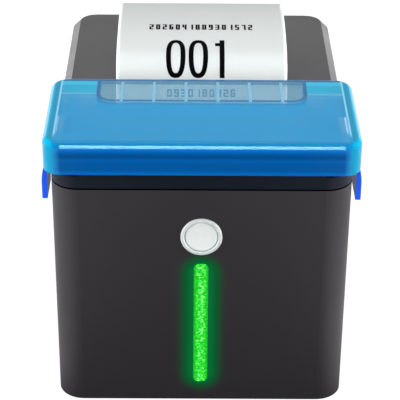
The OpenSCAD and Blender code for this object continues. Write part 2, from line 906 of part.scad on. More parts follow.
module paper_lid() {
    rib_t = 1.6;
    color("#646464") difference() {
        union() {
            difference() {
                translate([0, 0, lid_bottom]) linear_extrude(lid_top - lid_bottom) lid_plan(0);
                block(
                    [-half_w + bevel, lid_front + top_wall, lid_bottom - past],
                    [half_w - bevel, hinge_y - hinge_r, lid_top - top_t]
                );
            }
            for (x = [-40, -20, 0, 20, 40]) block(
                [x - rib_t / 2, lid_front + 30, lid_top - top_t - lid_rib_h],
                [x + rib_t / 2, hinge_y, lid_top - top_t + 0.5]
            );
        }
        side_bevels();
        along_x(-half_w - past, half_w + past) difference() {
            translate([hinge_y, lid_bottom - past])
                square([hinge_r + past, lid_top - lid_bottom + 2 * past]);
            translate([hinge_y, hinge_z]) circle(hinge_r);
        }
        along_x(-half_w - past, half_w + past) difference() {
            translate([lip_front - past, lid_top - slot_round]) square(slot_round + past);
            translate([lip_front + slot_round, lid_top - slot_round]) circle(slot_round);
        }
        block(
            [-half_w - past, lip_front - past, lid_bottom - past],
            [half_w + past, lid_front, ticket_low + run]
        );
        ear_room();
        rod_x(pin_r + fit, -pin_half - 0.5, pin_half + 0.5, hinge_y, hinge_z);
    }
}

module hinge_pin() {
    color("#c0c4c6") rod_x(pin_r, -pin_half, pin_half, hinge_y, hinge_z);
}

cheek_t = 2.8;
holder_front = lid_front + top_wall;
holder_rear = holder_front + 16;
holder_screw_y = holder_rear - 5;

module platen_holder() {
    top = lid_top - top_t;
    color("#2f2f33") difference() {
        union() {
            difference() {
                block([-holder_half, holder_front, lid_bottom], [holder_half, holder_rear, top]);
                block(
                    [-holder_half + cheek_t, holder_front + 2, lid_bottom - past],
                    [holder_half - cheek_t, holder_rear - 2, top - 3]
                );
            }
            both_sides() along_x(holder_half - cheek_t, holder_half) {
                translate([platen_y, platen_z]) circle(shaft_r + 3);
                polygon([
                    [platen_y - shaft_r - 3, platen_z], [holder_front, lid_bottom + past],
                    [holder_rear, lid_bottom + past], [platen_y + shaft_r + 3, platen_z]
                ]);
            }
        }
        rod_x(shaft_r + fit, -holder_half - past, holder_half + past, platen_y, platen_z);
        for (x = [-30, 30]) translate([x, holder_screw_y, lid_bottom - past])
            cylinder(h = lid_top - lid_bottom, r = screw_r);
    }
}

module holder_screws() {
    color("#b8b8b8") for (x = [-30, 30]) translate([x, holder_screw_y, lid_top - top_t - 3]) {
        cylinder(h = 3, r = screw_r);
        translate([0, 0, -screw_head_t]) cylinder(h = screw_head_t, r = screw_head_r);
    }
}

module fixed_blade() {
    color("#d5d8da") block(
        [-holder_half + cheek_t + drop, fixed_front, lid_bottom - fixed_t],
        [holder_half - cheek_t - drop, holder_front + 2, lid_bottom]
    );
}

module platen_roller() {
    color("#242424") difference() {
        rod_x(platen_r, -paper_w / 2, paper_w / 2, platen_y, platen_z);
        rod_x(shaft_r, -paper_w / 2 - past, paper_w / 2 + past, platen_y, platen_z);
    }
}

module platen_shaft() {
    color("#c0c4c6") rod_x(shaft_r, gear_x - 0.5, bush_x + bush_w + 0.5, platen_y, platen_z);
}

module platen_gear() {
    color("#e6e2d2") gear_x_at(
        pinion_teeth, gear_x, platen_y, platen_z, train_angle + 180 / pinion_teeth, shaft_r
    );
}

module platen_bushes() {
    color("#c9a25a") both_sides() difference() {
        rod_x(bush_r, bush_x, bush_x + bush_w, platen_y, platen_z);
        rod_x(shaft_r + fit, bush_x - past, bush_x + bush_w + past, platen_y, platen_z);
    }
}

// The key passes through the right wall, and its hook frees the lid's edge.
module lid_release() {
    inner = inner_half - key_hook;
    rim = 2;
    grip = 0.8;
    grip_pitch = 2.4;
    color("#2c2b2f") difference() {
        union() {
            along_x(inner_half - 2.5, half_w) translate([key_y, key_z]) plan(
                [-key_w / 2, -key_h / 2], [key_w / 2, key_h / 2], 2
            );
            block(
                [inner_half - 3.5, key_y - key_w / 2 - rim, key_z - key_h / 2 - rim],
                [inner_half - run, key_y + key_w / 2 + rim, key_z + key_h / 2 + rim]
            );
            along_y(key_y - 3, key_y + 3) polygon([
                [inner, key_z - 3], [inner_half - 3, key_z - 4],
                [inner_half - 3, key_z + 4], [inner + 3, key_z + 2]
            ]);
        }
        for (k = [-2:2]) translate([half_w, key_y + grip_pitch * k, key_z])
            rotate([0, 0, 45]) cube([grip, grip, key_h - 3], center = true);
    }
}

// Electronics

module main_board() {
    color("#1f5a36") difference() {
        block([board_x0, board_y0, board_z], [board_x1, board_y1, board_top]);
        for (x = [board_x0 + 5, board_x1 - 5], y = [board_y0 + 5, board_y1 - 18])
            translate([x, y, board_z - past]) cylinder(h = board_t + 2 * past, r = 1.6);
    }
}

// A connector housing whose mouth opens to the rear
module port_body(x, size) {
    block([x - size[0] / 2, port_y - size[1], board_top], [x + size[0] / 2, port_y, board_top + size[2]]);
}

module port_mouth(x, z, w, h, deep) {
    block([x - w / 2, port_y - deep, z - h / 2], [x + w / 2, port_y + past, z + h / 2]);
}

module power_inlet() {
    mid = board_top + inlet_size[2] / 2;
    color("#1d1d1f") difference() {
        port_body(inlet_x, inlet_size);
        rod_y(5, port_y - 9, port_y + past, inlet_x, mid);
    }
}

module usb_port() {
    mid = board_top + usb_size[2] / 2;
    color("#c3c6c8") {
        difference() {
            port_body(usb_x, usb_size);
            port_mouth(usb_x, mid, 8.6, 7.9, 9);
        }
        block([usb_x - 2.8, port_y - 9.5, mid - 1.6], [usb_x + 2.8, port_y - 1, mid + 1.6]);
    }
}

module network_port() {
    mid = board_top + lan_size[2] / 2;
    color("#c3c6c8") difference() {
        port_body(lan_x, lan_size);
        port_mouth(lan_x, mid, 11.8, 8.2, 14);
        port_mouth(lan_x, mid - 4.6, 6.2, 2.6, 8);
    }
}

module drawer_port() {
    mid = board_top + drawer_size[2] / 2;
    color("#1d1d1f") difference() {
        port_body(drawer_x, drawer_size);
        port_mouth(drawer_x, mid, 9.8, 6.9, 11);
        port_mouth(drawer_x, mid - 3.9, 4, 2.4, 6);
    }
}

module power_switch() {
    pocket = 9;
    color("#1a1a1c") difference() {
        union() {
            block(
                [switch_x - switch_w / 2, rear_y - switch_d, switch_z - switch_h / 2],
                [switch_x + switch_w / 2, rear_y, switch_z + switch_h / 2]
            );
            along_y(rear_y - switch_flange - body_wall, rear_y - body_wall) plan(
                [switch_x - switch_w / 2 - switch_flange, switch_z - switch_h / 2 - switch_flange],
                [switch_x + switch_w / 2 + switch_flange, switch_z + switch_h / 2 + switch_flange], 1
            );
        }
        block(
            [switch_x - rocker_w / 2 - run, rear_y - pocket, switch_z - rocker_h / 2 - run - 0.5],
            [switch_x + rocker_w / 2 + run, rear_y + past, switch_z + rocker_h / 2 + run + 0.5]
        );
        rod_x(
            rocker_pivot_r + fit, switch_x - rocker_w / 2 - rocker_pivot_l - run,
            switch_x + rocker_w / 2 + rocker_pivot_l + run, rocker_y, switch_z
        );
    }
}

module power_rocker() {
    half = rocker_h / 2;
    x0 = switch_x - rocker_w / 2;
    x1 = switch_x + rocker_w / 2;
    color("#2a2a2c") {
        rod_x(rocker_pivot_r, x0 - rocker_pivot_l, x1 + rocker_pivot_l, rocker_y, switch_z);
        translate([0, rocker_y, switch_z]) along_x(x0, x1) polygon([
            [-3, -3], [3, -half], [4.2, -half], [3.2, 0], [4.2, half], [3, half], [-3, 3]
        ]);
    }
}

module paper_sensor() {
    low = frame_low + frame_t;
    tall = 5;
    color("#151515") difference() {
        block([24, frame_rear - 26, low], [31, frame_rear - 20, low + tall]);
        block([26, frame_rear - 25, low + tall - 1], [29, frame_rear - 21, low + tall + past]);
    }
}

// Front controls

module button_ring() {
    inner = cap_d / 2 + drop;
    outer = ring_d / 2 - fit;
    flange = ring_d / 2 + ring_flange;
    back = -body_wall - ring_flange_t;
    ease = 0.5;
    color("#c8ccca") translate([0, front_y, button_z]) rotate([90, 0, 0]) rotate_extrude() polygon([
        [inner, back], [flange, back], [flange, -body_wall], [outer, -body_wall], [outer, ring_proud - ease],
        [outer - ease, ring_proud], [inner + ease, ring_proud], [inner, ring_proud - ease]
    ]);
}

// The cap's face is a shallow dish, and its skirt is stopped behind the ring.
module ticket_button() {
    face = ring_proud - cap_recess;
    dish_r = 60;
    dish = 0.5;
    back = -body_wall - ring_flange_t - run;
    color("#ccd2d0") translate([0, front_y, button_z]) rotate([90, 0, 0]) difference() {
        rotate_extrude() polygon([
            [0, -(stem_end - front_y)], [stem_r, -(stem_end - front_y)], [stem_r, back - 1.2],
            [cap_d / 2 + cap_flange, back - 1.2], [cap_d / 2 + cap_flange, back], [cap_d / 2, back],
            [cap_d / 2, face - 0.4], [cap_d / 2 - 0.4, face], [0, face]
        ]);
        translate([0, 0, face - dish + dish_r]) sphere(r = dish_r, $fn = 96);
    }
}

module switch_plunger() {
    color("#202020") rod_y(plunger_r, stem_end, switch_front + 1, 0, button_z);
}

module tact_switch() {
    color("#303030") difference() {
        block([-3, switch_front, button_z - 3], [3, button_board_y, button_z + 3]);
        rod_y(plunger_r + fit, switch_front - past, switch_front + 1 + button_travel + run, 0, button_z);
    }
}

module button_board() {
    color("#1f5a36") along_y(button_board_y, button_board_y + board_t)
        plan([-post_x - 4, button_z - 8], [post_x + 4, button_z + 8], 2);
}

module light_bar() {
    color("#00e820") {
        along_y(front_y - bar_proud, front_y + body_wall) bar_plan(-fit);
        along_y(front_y + body_wall, front_y + body_wall + bar_flange) bar_plan(bar_flange);
    }
}

module light_board() {
    color("#e4e6e2") along_y(light_board_y, light_board_y + board_t)
        plan([-light_post_x - 3, bar_low + 2], [light_post_x + 3, bar_high - 2], 2);
}

module light_chips() {
    chip = 2.8;
    chip_t = 1;
    margin = 5;
    step = (bar_high - bar_low - 2 * margin) / (chip_count - 1);
    color("#f4f0c0") for (k = [0:chip_count - 1])
        translate([-chip / 2, light_board_y - chip_t, bar_low + margin + k * step - chip / 2])
            cube([chip, chip_t, chip]);
}

// Splash hood

// Half of the mouth's wall in plan, round at its front corners
module mouth_plan(grow) {
    plan([-mouth_half - grow, mouth_y - grow], [mouth_half + grow, hood_rear + 20], 6 + grow);
}

// A tab swings out below the skirt and then hangs straight down beside the body.
module hood_tab() {
    steps = 10;
    root = 3;
    root_in = 0.3;
    swing = 0.55;
    root_t = hood_wall - 2 * root_in;
    x0 = hood_half - hood_wall + root_in;
    function out(s) = (tab_flare - root_in) * sin(90 * min(1, s / swing));
    function thick(s) = root_t + (tab_t - root_t) * min(1, s / swing);
    along_y(tab_front, tab_front + tab_len) polygon(concat(
        [[x0, hood_skirt + root]],
        [for (i = [0:steps]) let (s = i / steps) [x0 + out(s), hood_skirt - tab_drop * s]],
        [for (i = [steps:-1:0]) let (s = i / steps) [x0 + out(s) + thick(s), hood_skirt - tab_drop * s]],
        [[x0 + root_t, hood_skirt + root]]
    ));
}

module guide_ribs() {
    rib_t = 1;
    rib_end = hood_rear - 5;
    tip_h = 0.6;
    root = 0.5;
    roof = hood_roof - hood_wall;
    for (k = [0:rib_count - 1]) let (x = (k - (rib_count - 1) / 2) * rib_pitch)
        along_x(x - rib_t / 2, x + rib_t / 2) polygon([
            [mouth_y - root, roof + root], [mouth_y - root, roof - rib_h],
            [rib_end, roof - tip_h], [rib_end, roof + root]
        ]);
}

module splash_hood() {
    roof = hood_roof - hood_wall;
    post_seat = 0.5;
    color("#5a9ad0", 0.7) {
        difference() {
            domed(
                [-hood_half, hood_front, hood_skirt], [hood_half, hood_rear, hood_roof],
                hood_corner, hood_edge
            );
            domed(
                [-hood_half + hood_wall, hood_front + hood_wall, hood_skirt - past],
                [hood_half - hood_wall, hood_rear - hood_wall, roof],
                hood_corner - hood_wall, hood_edge - hood_wall
            );
            block(
                [-hood_half - past, hood_rear - hood_corner, hood_skirt - past],
                [hood_half + past, hood_rear + past, hood_rear_low]
            );
            translate([0, 0, hood_skirt - past]) linear_extrude(roof - hood_skirt + past) mouth_plan(0);
        }
        translate([0, 0, hood_roof - mouth_h]) linear_extrude(mouth_h - hood_wall / 2) intersection() {
            difference() {
                mouth_plan(mouth_wall);
                mouth_plan(0);
            }
            translate([-half_w, front_y]) square([body_w, hood_rear - hood_wall / 2 - front_y]);
        }
        guide_ribs();
        both_sides() hood_tab();
        both_sides() for (y = [front_y + 10, mouth_y + 12])
            block(
                [mouth_half + post_in, y, lid_top + drop],
                [hood_half - hood_wall / 2, y + post_t, roof + post_seat]
            );
    }
}

body_shell();
base_pan();
rubber_feet();
base_screws();
cutter_cover();
paper_bay();
mechanism_frame();
head_plate();
head_strip();
head_pin();
head_spring();
feed_motor();
motor_pinion();
idler_gear();
cutter_plate();
cutter_blade();
blade_carriage();
cutter_motor();
cutter_pinion();
paper_lid();
platen_holder();
holder_screws();
fixed_blade();
hinge_pin();
platen_roller();
platen_shaft();
platen_gear();
platen_bushes();
lid_release();
main_board();
power_inlet();
usb_port();
network_port();
drawer_port();
power_switch();
power_rocker();
button_ring();
ticket_button();
switch_plunger();
tact_switch();
button_board();
light_bar();
light_board();
light_chips();
paper_sensor();
splash_hood();
ticket();
paper_web();
paper_roll();
roll_core();
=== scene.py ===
"""Looks of the counter-top ticket printer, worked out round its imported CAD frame.

The solids come in as they are. This file gives each its material, lays the printed ticket over the lid,
puts the contacts into the rear sockets, and sets the camera, the lamps and the floor.
"""

import math

import bpy
import numpy as np
from mathutils import Matrix, Vector


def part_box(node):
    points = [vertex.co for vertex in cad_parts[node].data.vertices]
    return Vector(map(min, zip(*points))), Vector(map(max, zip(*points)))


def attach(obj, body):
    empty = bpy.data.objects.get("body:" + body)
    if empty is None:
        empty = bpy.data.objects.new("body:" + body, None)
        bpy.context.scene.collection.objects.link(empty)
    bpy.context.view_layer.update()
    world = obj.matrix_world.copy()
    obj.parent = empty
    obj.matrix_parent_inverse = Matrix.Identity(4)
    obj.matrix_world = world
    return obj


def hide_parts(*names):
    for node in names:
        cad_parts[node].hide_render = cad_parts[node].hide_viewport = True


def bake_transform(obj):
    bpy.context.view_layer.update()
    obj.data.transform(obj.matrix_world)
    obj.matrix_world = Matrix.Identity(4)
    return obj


bl_info = {
    "name": "Ticket printer looks",
    "version": (1, 0, 0),
    "blender": (4, 5, 0),
    "location": "View3D > Sidebar > Ticket printer",
    "description": "Materials, printed ticket, socket contacts and studio for the ticket printer",
    "category": "Object",
}

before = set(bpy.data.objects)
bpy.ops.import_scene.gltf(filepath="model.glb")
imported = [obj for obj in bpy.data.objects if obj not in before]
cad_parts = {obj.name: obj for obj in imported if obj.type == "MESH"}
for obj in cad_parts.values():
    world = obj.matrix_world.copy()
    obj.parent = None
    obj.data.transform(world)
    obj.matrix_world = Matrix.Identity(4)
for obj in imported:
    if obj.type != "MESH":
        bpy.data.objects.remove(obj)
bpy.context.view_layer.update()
MM = 0.001
SENSOR = 36


def tone(code):
    """Turns an sRGB hex colour into linear red, green and blue."""
    srgb = np.array([int(code[i:i + 2], 16) for i in (1, 3, 5)]) / 255
    return tuple(np.where(srgb <= 0.04045, srgb / 12.92, ((srgb + 0.055) / 1.055) ** 2.4))


def colour(label, words, code):
    """A colour property whose default is an sRGB hex value."""
    return bpy.props.FloatVectorProperty(
        name=label, description=words, default=tone(code), subtype="COLOR", size=3, min=0, max=1
    )


def length(label, words, mm, least=0.0, most=1.0):
    """A length property whose default is given in millimetres."""
    return bpy.props.FloatProperty(
        name=label, description=words, default=mm * MM, unit="LENGTH", min=least, max=most, precision=5
    )


def slant(label, words, degrees):
    """An angle property whose default is given in degrees."""
    return bpy.props.FloatProperty(
        name=label, description=words, default=math.radians(degrees), subtype="ANGLE"
    )


def fraction(label, words, share):
    """A property between 0 and 1."""
    return bpy.props.FloatProperty(name=label, description=words, default=share, min=0, max=1)


class PrinterFinish(bpy.types.PropertyGroup):
    """Colours of the printer's finishes, and the lengths that their patterns follow."""

    body: colour("Body", "Charcoal of the moulded lower body", "#201c21")
    # Partly painted light and shade: the black is tinted blue for the hood's light on the cover and darkened
    # for the hood's shadow; the base pan shares it
    cover: colour("Cover", "Black of the cutter cover and the inner mouldings", "#060d1a")
    lid: colour("Lid", "Grey of the paper lid", "#3b3b3d")
    hood: colour("Hood", "Tint of the clear splash hood's roof", "#28beff")
    # A darker copy of this tint paints shade on the lower side walls
    hood_side: colour("Hood sides", "Tint of the hood's side walls", "#0096be")
    # Also paints the shelf and lip on the roof brighter, as painted light where the rear wall lies beneath
    hood_rear: colour("Hood rear", "Tint of the low wall at the hood's rear", "#2cd4ff")
    hood_brow: colour("Hood brow", "Tint of the round edge above the hood's front wall", "#0a88c2")
    # Also paints the dark line along the roof's rear rim, as painted shade
    hood_foot: colour("Hood mouth", "Tint of the foot of the wall round the paper mouth", "#0068a4")
    hood_front: colour("Hood front", "Tint of the hood's front wall", "#005caa")
    # Painted highlight: this pale tint paints the ribs, the light line at the rear, the inner turns of the side
    # walls and the roof over the paper mouth paler
    hood_painted_pale: colour("Hood ribs", "Tint of the thin ribs under the hood's roof", "#8fdcff")
    hood_tab: colour("Hood tabs", "Tint of the hood's two tabs", "#0c62ff")
    hood_gloss: colour("Hood gloss", "Tint of what the hood mirrors", "#aae7ff")
    hood_half: length("Hood half width", "From the middle to the outside of the hood's wall", 69.1)
    hood_edge: length("Hood edge radius", "Radius of the hood's round upper edge", 3)
    mouth_wall: length("Mouth wall", "Thickness of the wall round the paper mouth", 1.8)
    mouth_bend: length("Mouth corner", "Corner radius of the paper mouth", 6)
    rib_pitch: length("Rib pitch", "Distance between the hood's ribs", 14.5)
    rib_wall: length("Rib thickness", "Thickness of the hood's ribs", 1)
    mouth_half: length("Mouth half width", "From the middle to the wall round the paper mouth", 46.2)
    mouth_front: length("Mouth setback", "From the hood's front to the paper mouth", 42.8)
    hood_lap: length("Hood lap", "How far the hood's skirt hangs below the lid's top", 0.7)
    button: colour("Button", "Pale grey of the button", "#dadfdd")
    ring: colour("Ring", "Grey of the ring round the button", "#c2c8c6")
    light: colour("Light", "Green of the lit bar's plastic and edges", "#1fd820")
    light_deep: colour("Deep light", "Deeper green between the lit bar's prisms", "#0cc81c")
    light_bright: colour("Bright light", "Brighter green round the palest prisms", "#48f050")
    spark: colour("Sparks", "Palest green of the lit bar's prisms", "#c6ffb4")
    # Painted light: this green is painted on the panel round the bar as the bar's light falling there, in the
    # emission and a darker base colour
    painted_glow: colour("Glow", "Green that the bar throws on the panel", "#046a34")
    paper: colour("Paper", "White of the thermal paper", "#d9dddc")
    ink: colour("Ink", "Grey-black of the heated coating", "#060608")
    # Painted shade: the body's rim just under the cutter cover is painted this near-black for the shade in the
    # gap
    groove: colour("Groove", "Shade in the groove at the seam", "#060609")
    seam: length("Seam", "Height of the open groove at the seam", 0.8)
    grain: length("Grain", "Size of the spark-eroded grain on the mouldings", 0.7)


class TicketShape(bpy.types.PropertyGroup):
    """Path of the printed ticket, the same as in the solids."""

    width: length("Width", "Width of the paper", 80)
    thickness: length("Thickness", "Thickness of the paper", 0.15)
    slot_y: length("Slot", "Where the paper slot lies, from front to back", -23.6, -1.0)
    low: length("Low end", "Height of the ticket's cut lower end", 117.3)
    foot: length("Foot", "Upright length above the cut", 1.9)
    turn: length("Turn", "Radius at which it leans back", 10)
    rise: length("Rise", "Straight length of the lean", 17)
    bend: length("Bend", "Radius at which it folds over", 14)
    curl: length("Curl", "Radius of its long curl", 114.6)
    lean: slant("Lean", "Lean of the straight rise", 29)
    flat: slant("Fold", "Slope after the fold", 16)
    end: slant("End", "Slope at the free end", -9.2)


class StageSettings(bpy.types.PropertyGroup):
    """Camera, lamps and floor."""

    lens: bpy.props.FloatProperty(
        name="Lens", description="Focal length in millimetres, on a sensor 36 mm wide", default=140.99
    )
    pitch: slant("Pitch", "How far the camera looks down", 29.722)
    yaw: slant("Yaw", "How far the camera looks to the right", 0.415)
    roll: slant("Roll", "Tilt of the camera's horizon", 0.5)
    distance: length("Distance", "From the camera to its target", 754.513, 0.1, 5.0)
    target: bpy.props.FloatVectorProperty(
        name="Target", description="Point that the camera looks at", size=3, unit="LENGTH",
        default=(-0.00036, -0.02494, 0.075606)
    )
    surround: fraction("Surround", "Level of the light from all round", 0.3)
    dim_room: fraction("Dim room", "Level that gloss sees in the room ahead of the front", 0.0)


# How much each face of the hood hides
HOOD_VEIL = {
    "roof": 0.47, "shelf": 0.52, "lip": 0.75, "crest": 0.5, "rim": 0.85, "mouth": 0.3, "foot": 0.9,
    "rib": 0.6, "rear": 0.95, "brow": 0.8, "side": 0.96, "front": 0.95, "tab": 0.9,
}

# Painted light and shade: paler and deeper stripes painted up the hood's front wall for its reflections and the
# light bent through it: height as a share of the wall, and shade
HOOD_PAINTED_BANDS = (
    (0.0, 1.15), (0.1, 1.05), (0.18, 0.74), (0.45, 0.74), (0.58, 0.92), (0.7, 0.57), (0.82, 0.66),
    (1.0, 1.35),
)


# Materials

# Typical refraction of the plastics, the rubber and the paper
ABS_IOR = 1.53
POLYCARBONATE_IOR = 1.58
RUBBER_IOR = 1.52
PAPER_IOR = 1.5

# Stretch of a grinding lay: the same every way, for plated and sintered surfaces
EVEN = (1, 1, 1)


def feed(tree, made, at):
    """Sets a node's inputs: a plain value goes on the socket, and a socket is linked to it."""
    for key, value in at.items():
        if isinstance(value, bpy.types.NodeSocket):
            tree.links.new(value, made.inputs[key])
        else:
            made.inputs[key].default_value = value


def node(tree, kind, at=None, **settings):
    """Adds one node. Settings are its properties, and at gives its inputs as values or as sockets to link."""
    made = tree.nodes.new(kind)
    for key, value in settings.items():
        setattr(made, key, value)
    feed(tree, made, at or {})
    return made


def begin(name):
    """A new material with its tree, its surface shader and its Object coordinates."""
    made = bpy.data.materials.new(name)
    made.use_nodes = True
    tree = made.node_tree
    shader = tree.nodes["Principled BSDF"]
    place = node(tree, "ShaderNodeTexCoord").outputs["Object"]
    return made, tree, shader, place


def rgba(rgb, shade=1.0):
    """A linear colour with its alpha, made darker or lighter by a factor."""
    return (rgb[0] * shade, rgb[1] * shade, rgb[2] * shade, 1.0)


def per_metre(mm):
    """Texture scale for a pattern whose cells are that many millimetres across."""
    return 1 / (mm * MM)


def speckled(tree, place, mm, rgb, dark, light, detail, fine=0.5):
    """A noise whose cells are that many millimetres across, and the colour that it moves between two shades."""
    noise = node(tree, "ShaderNodeTexNoise", {
        "Vector": place, "Scale": per_metre(mm), "Detail": detail, "Roughness": fine
    })
    shade = node(tree, "ShaderNodeMix", {
        "Factor": noise.outputs["Fac"], "A": rgba(rgb, dark), "B": rgba(rgb, light)
    }, data_type="RGBA")
    return noise.outputs["Fac"], shade.outputs[2]


def moulded(name, rgb, grain, rough=0.55, level=0.3):
    """ABS moulded in a spark-eroded tool: fine even pits that blur reflections, and a faint drift of shade."""
    made, tree, shader, place = begin(name)
    pits = node(tree, "ShaderNodeTexNoise", {
        "Vector": place, "Scale": 1 / grain, "Detail": 2.0, "Roughness": 0.6
    }).outputs["Fac"]
    cloud, shade = speckled(tree, place, 45, rgb, 0.92, 1.08, 3.0)
    white, pit_contrast, wear_range = (1.0, 1.0, 1.0), 0.28, 0.06
    fleck = node(tree, "ShaderNodeMix", {
        "Factor": pits, "A": rgba(white, 1 - pit_contrast), "B": rgba(white, 1 + pit_contrast)
    }, data_type="RGBA")
    both = node(tree, "ShaderNodeMix", {
        "Factor": 1.0, "A": shade, "B": fleck.outputs[2]
    }, data_type="RGBA", blend_type="MULTIPLY")
    wear = node(tree, "ShaderNodeMapRange", {
        "Value": cloud, "From Min": 0.3, "From Max": 0.7,
        "To Min": rough - wear_range, "To Max": rough + wear_range
    })
    bump = node(tree, "ShaderNodeBump", {"Height": pits, "Strength": 0.35, "Distance": 0.02 * MM})
    feed(tree, shader, {
        "Base Color": both.outputs[2], "Roughness": wear.outputs[0], "Normal": bump.outputs[0],
        "IOR": ABS_IOR, "Specular IOR Level": level
    })
    return made


def painted_glow_panel(name, look, bar, front, seam):
    """The body's moulded ABS, with painted green light from the bar on the panel close round it.

    The painted light fades with the distance from the bar's outline, in the emission and in a darker green base
    colour, and the rim in the seam is painted near-black as painted shade of the gap. Both are worked out from
    Object coordinates."""
    rough, level, drowned_level = 0.5, 0.53, 0.08
    round_end, glow_end, skin = 1.5 * MM, 14 * MM, 0.5 * MM
    made = moulded(name, look.body, look.grain, rough, level)
    tree = made.node_tree
    shader = tree.nodes["Principled BSDF"]
    place = next(n for n in tree.nodes if n.bl_idname == "ShaderNodeTexCoord").outputs["Object"]
    axis = node(tree, "ShaderNodeSeparateXYZ", {0: place})
    lo, hi = bar
    centre, half = (lo + hi) / 2, (hi - lo) / 2
    reach = []
    for key, k in (("X", 0), ("Z", 2)):
        off = node(tree, "ShaderNodeMath", {0: axis.outputs[key], 1: centre[k]}, operation="SUBTRACT")
        size = node(tree, "ShaderNodeMath", {0: off.outputs[0]}, operation="ABSOLUTE")
        past = node(tree, "ShaderNodeMath", {0: size.outputs[0], 1: half[k] - round_end}, operation="SUBTRACT")
        reach.append(node(tree, "ShaderNodeMath", {0: past.outputs[0], 1: 0.0}, operation="MAXIMUM"))
    flat = node(tree, "ShaderNodeCombineXYZ", {0: reach[0].outputs[0], 1: reach[1].outputs[0]})
    away = node(tree, "ShaderNodeVectorMath", {0: flat.outputs[0]}, operation="LENGTH")
    fade = node(tree, "ShaderNodeMapRange", {
        "Value": away.outputs["Value"], "From Min": round_end, "From Max": glow_end,
        "To Min": 1.0, "To Max": 0.0
    }, interpolation_type="SMOOTHERSTEP")
    face = node(tree, "ShaderNodeMath", {0: axis.outputs["Y"], 1: front + skin}, operation="LESS_THAN")
    lit = node(tree, "ShaderNodeMath", {0: fade.outputs[0], 1: face.outputs[0]}, operation="MULTIPLY")
    base = shader.inputs["Base Color"].links[0].from_socket
    near = node(tree, "ShaderNodeMapRange", {"Value": lit.outputs[0], "From Max": 0.6})
    # Painted light: near the bar the base colour turns dark green under the painted emission
    tinted = node(tree, "ShaderNodeMix", {
        "Factor": near.outputs[0], "A": base, "B": rgba(look.painted_glow, 0.1)
    }, data_type="RGBA")
    shine = node(tree, "ShaderNodeMath", {0: lit.outputs[0], 1: 1.2}, operation="POWER")
    # Painted shade: the body above the seam height is painted near-black
    rim = node(tree, "ShaderNodeMath", {0: axis.outputs["Z"], 1: seam - 0.05 * MM}, operation="GREATER_THAN")
    groove = node(tree, "ShaderNodeMix", {
        "Factor": rim.outputs[0], "A": tinted.outputs[2], "B": rgba(look.groove)
    }, data_type="RGBA")
    # Close round the bar its light drowns the panel's sheen
    sheen = node(tree, "ShaderNodeMapRange", {
        "Value": near.outputs[0], "To Min": level, "To Max": drowned_level
    })
    feed(tree, shader, {
        "Base Color": groove.outputs[2], "Specular IOR Level": sheen.outputs[0],
        "Emission Color": rgba(look.painted_glow), "Emission Strength": shine.outputs[0]
    })
    return made


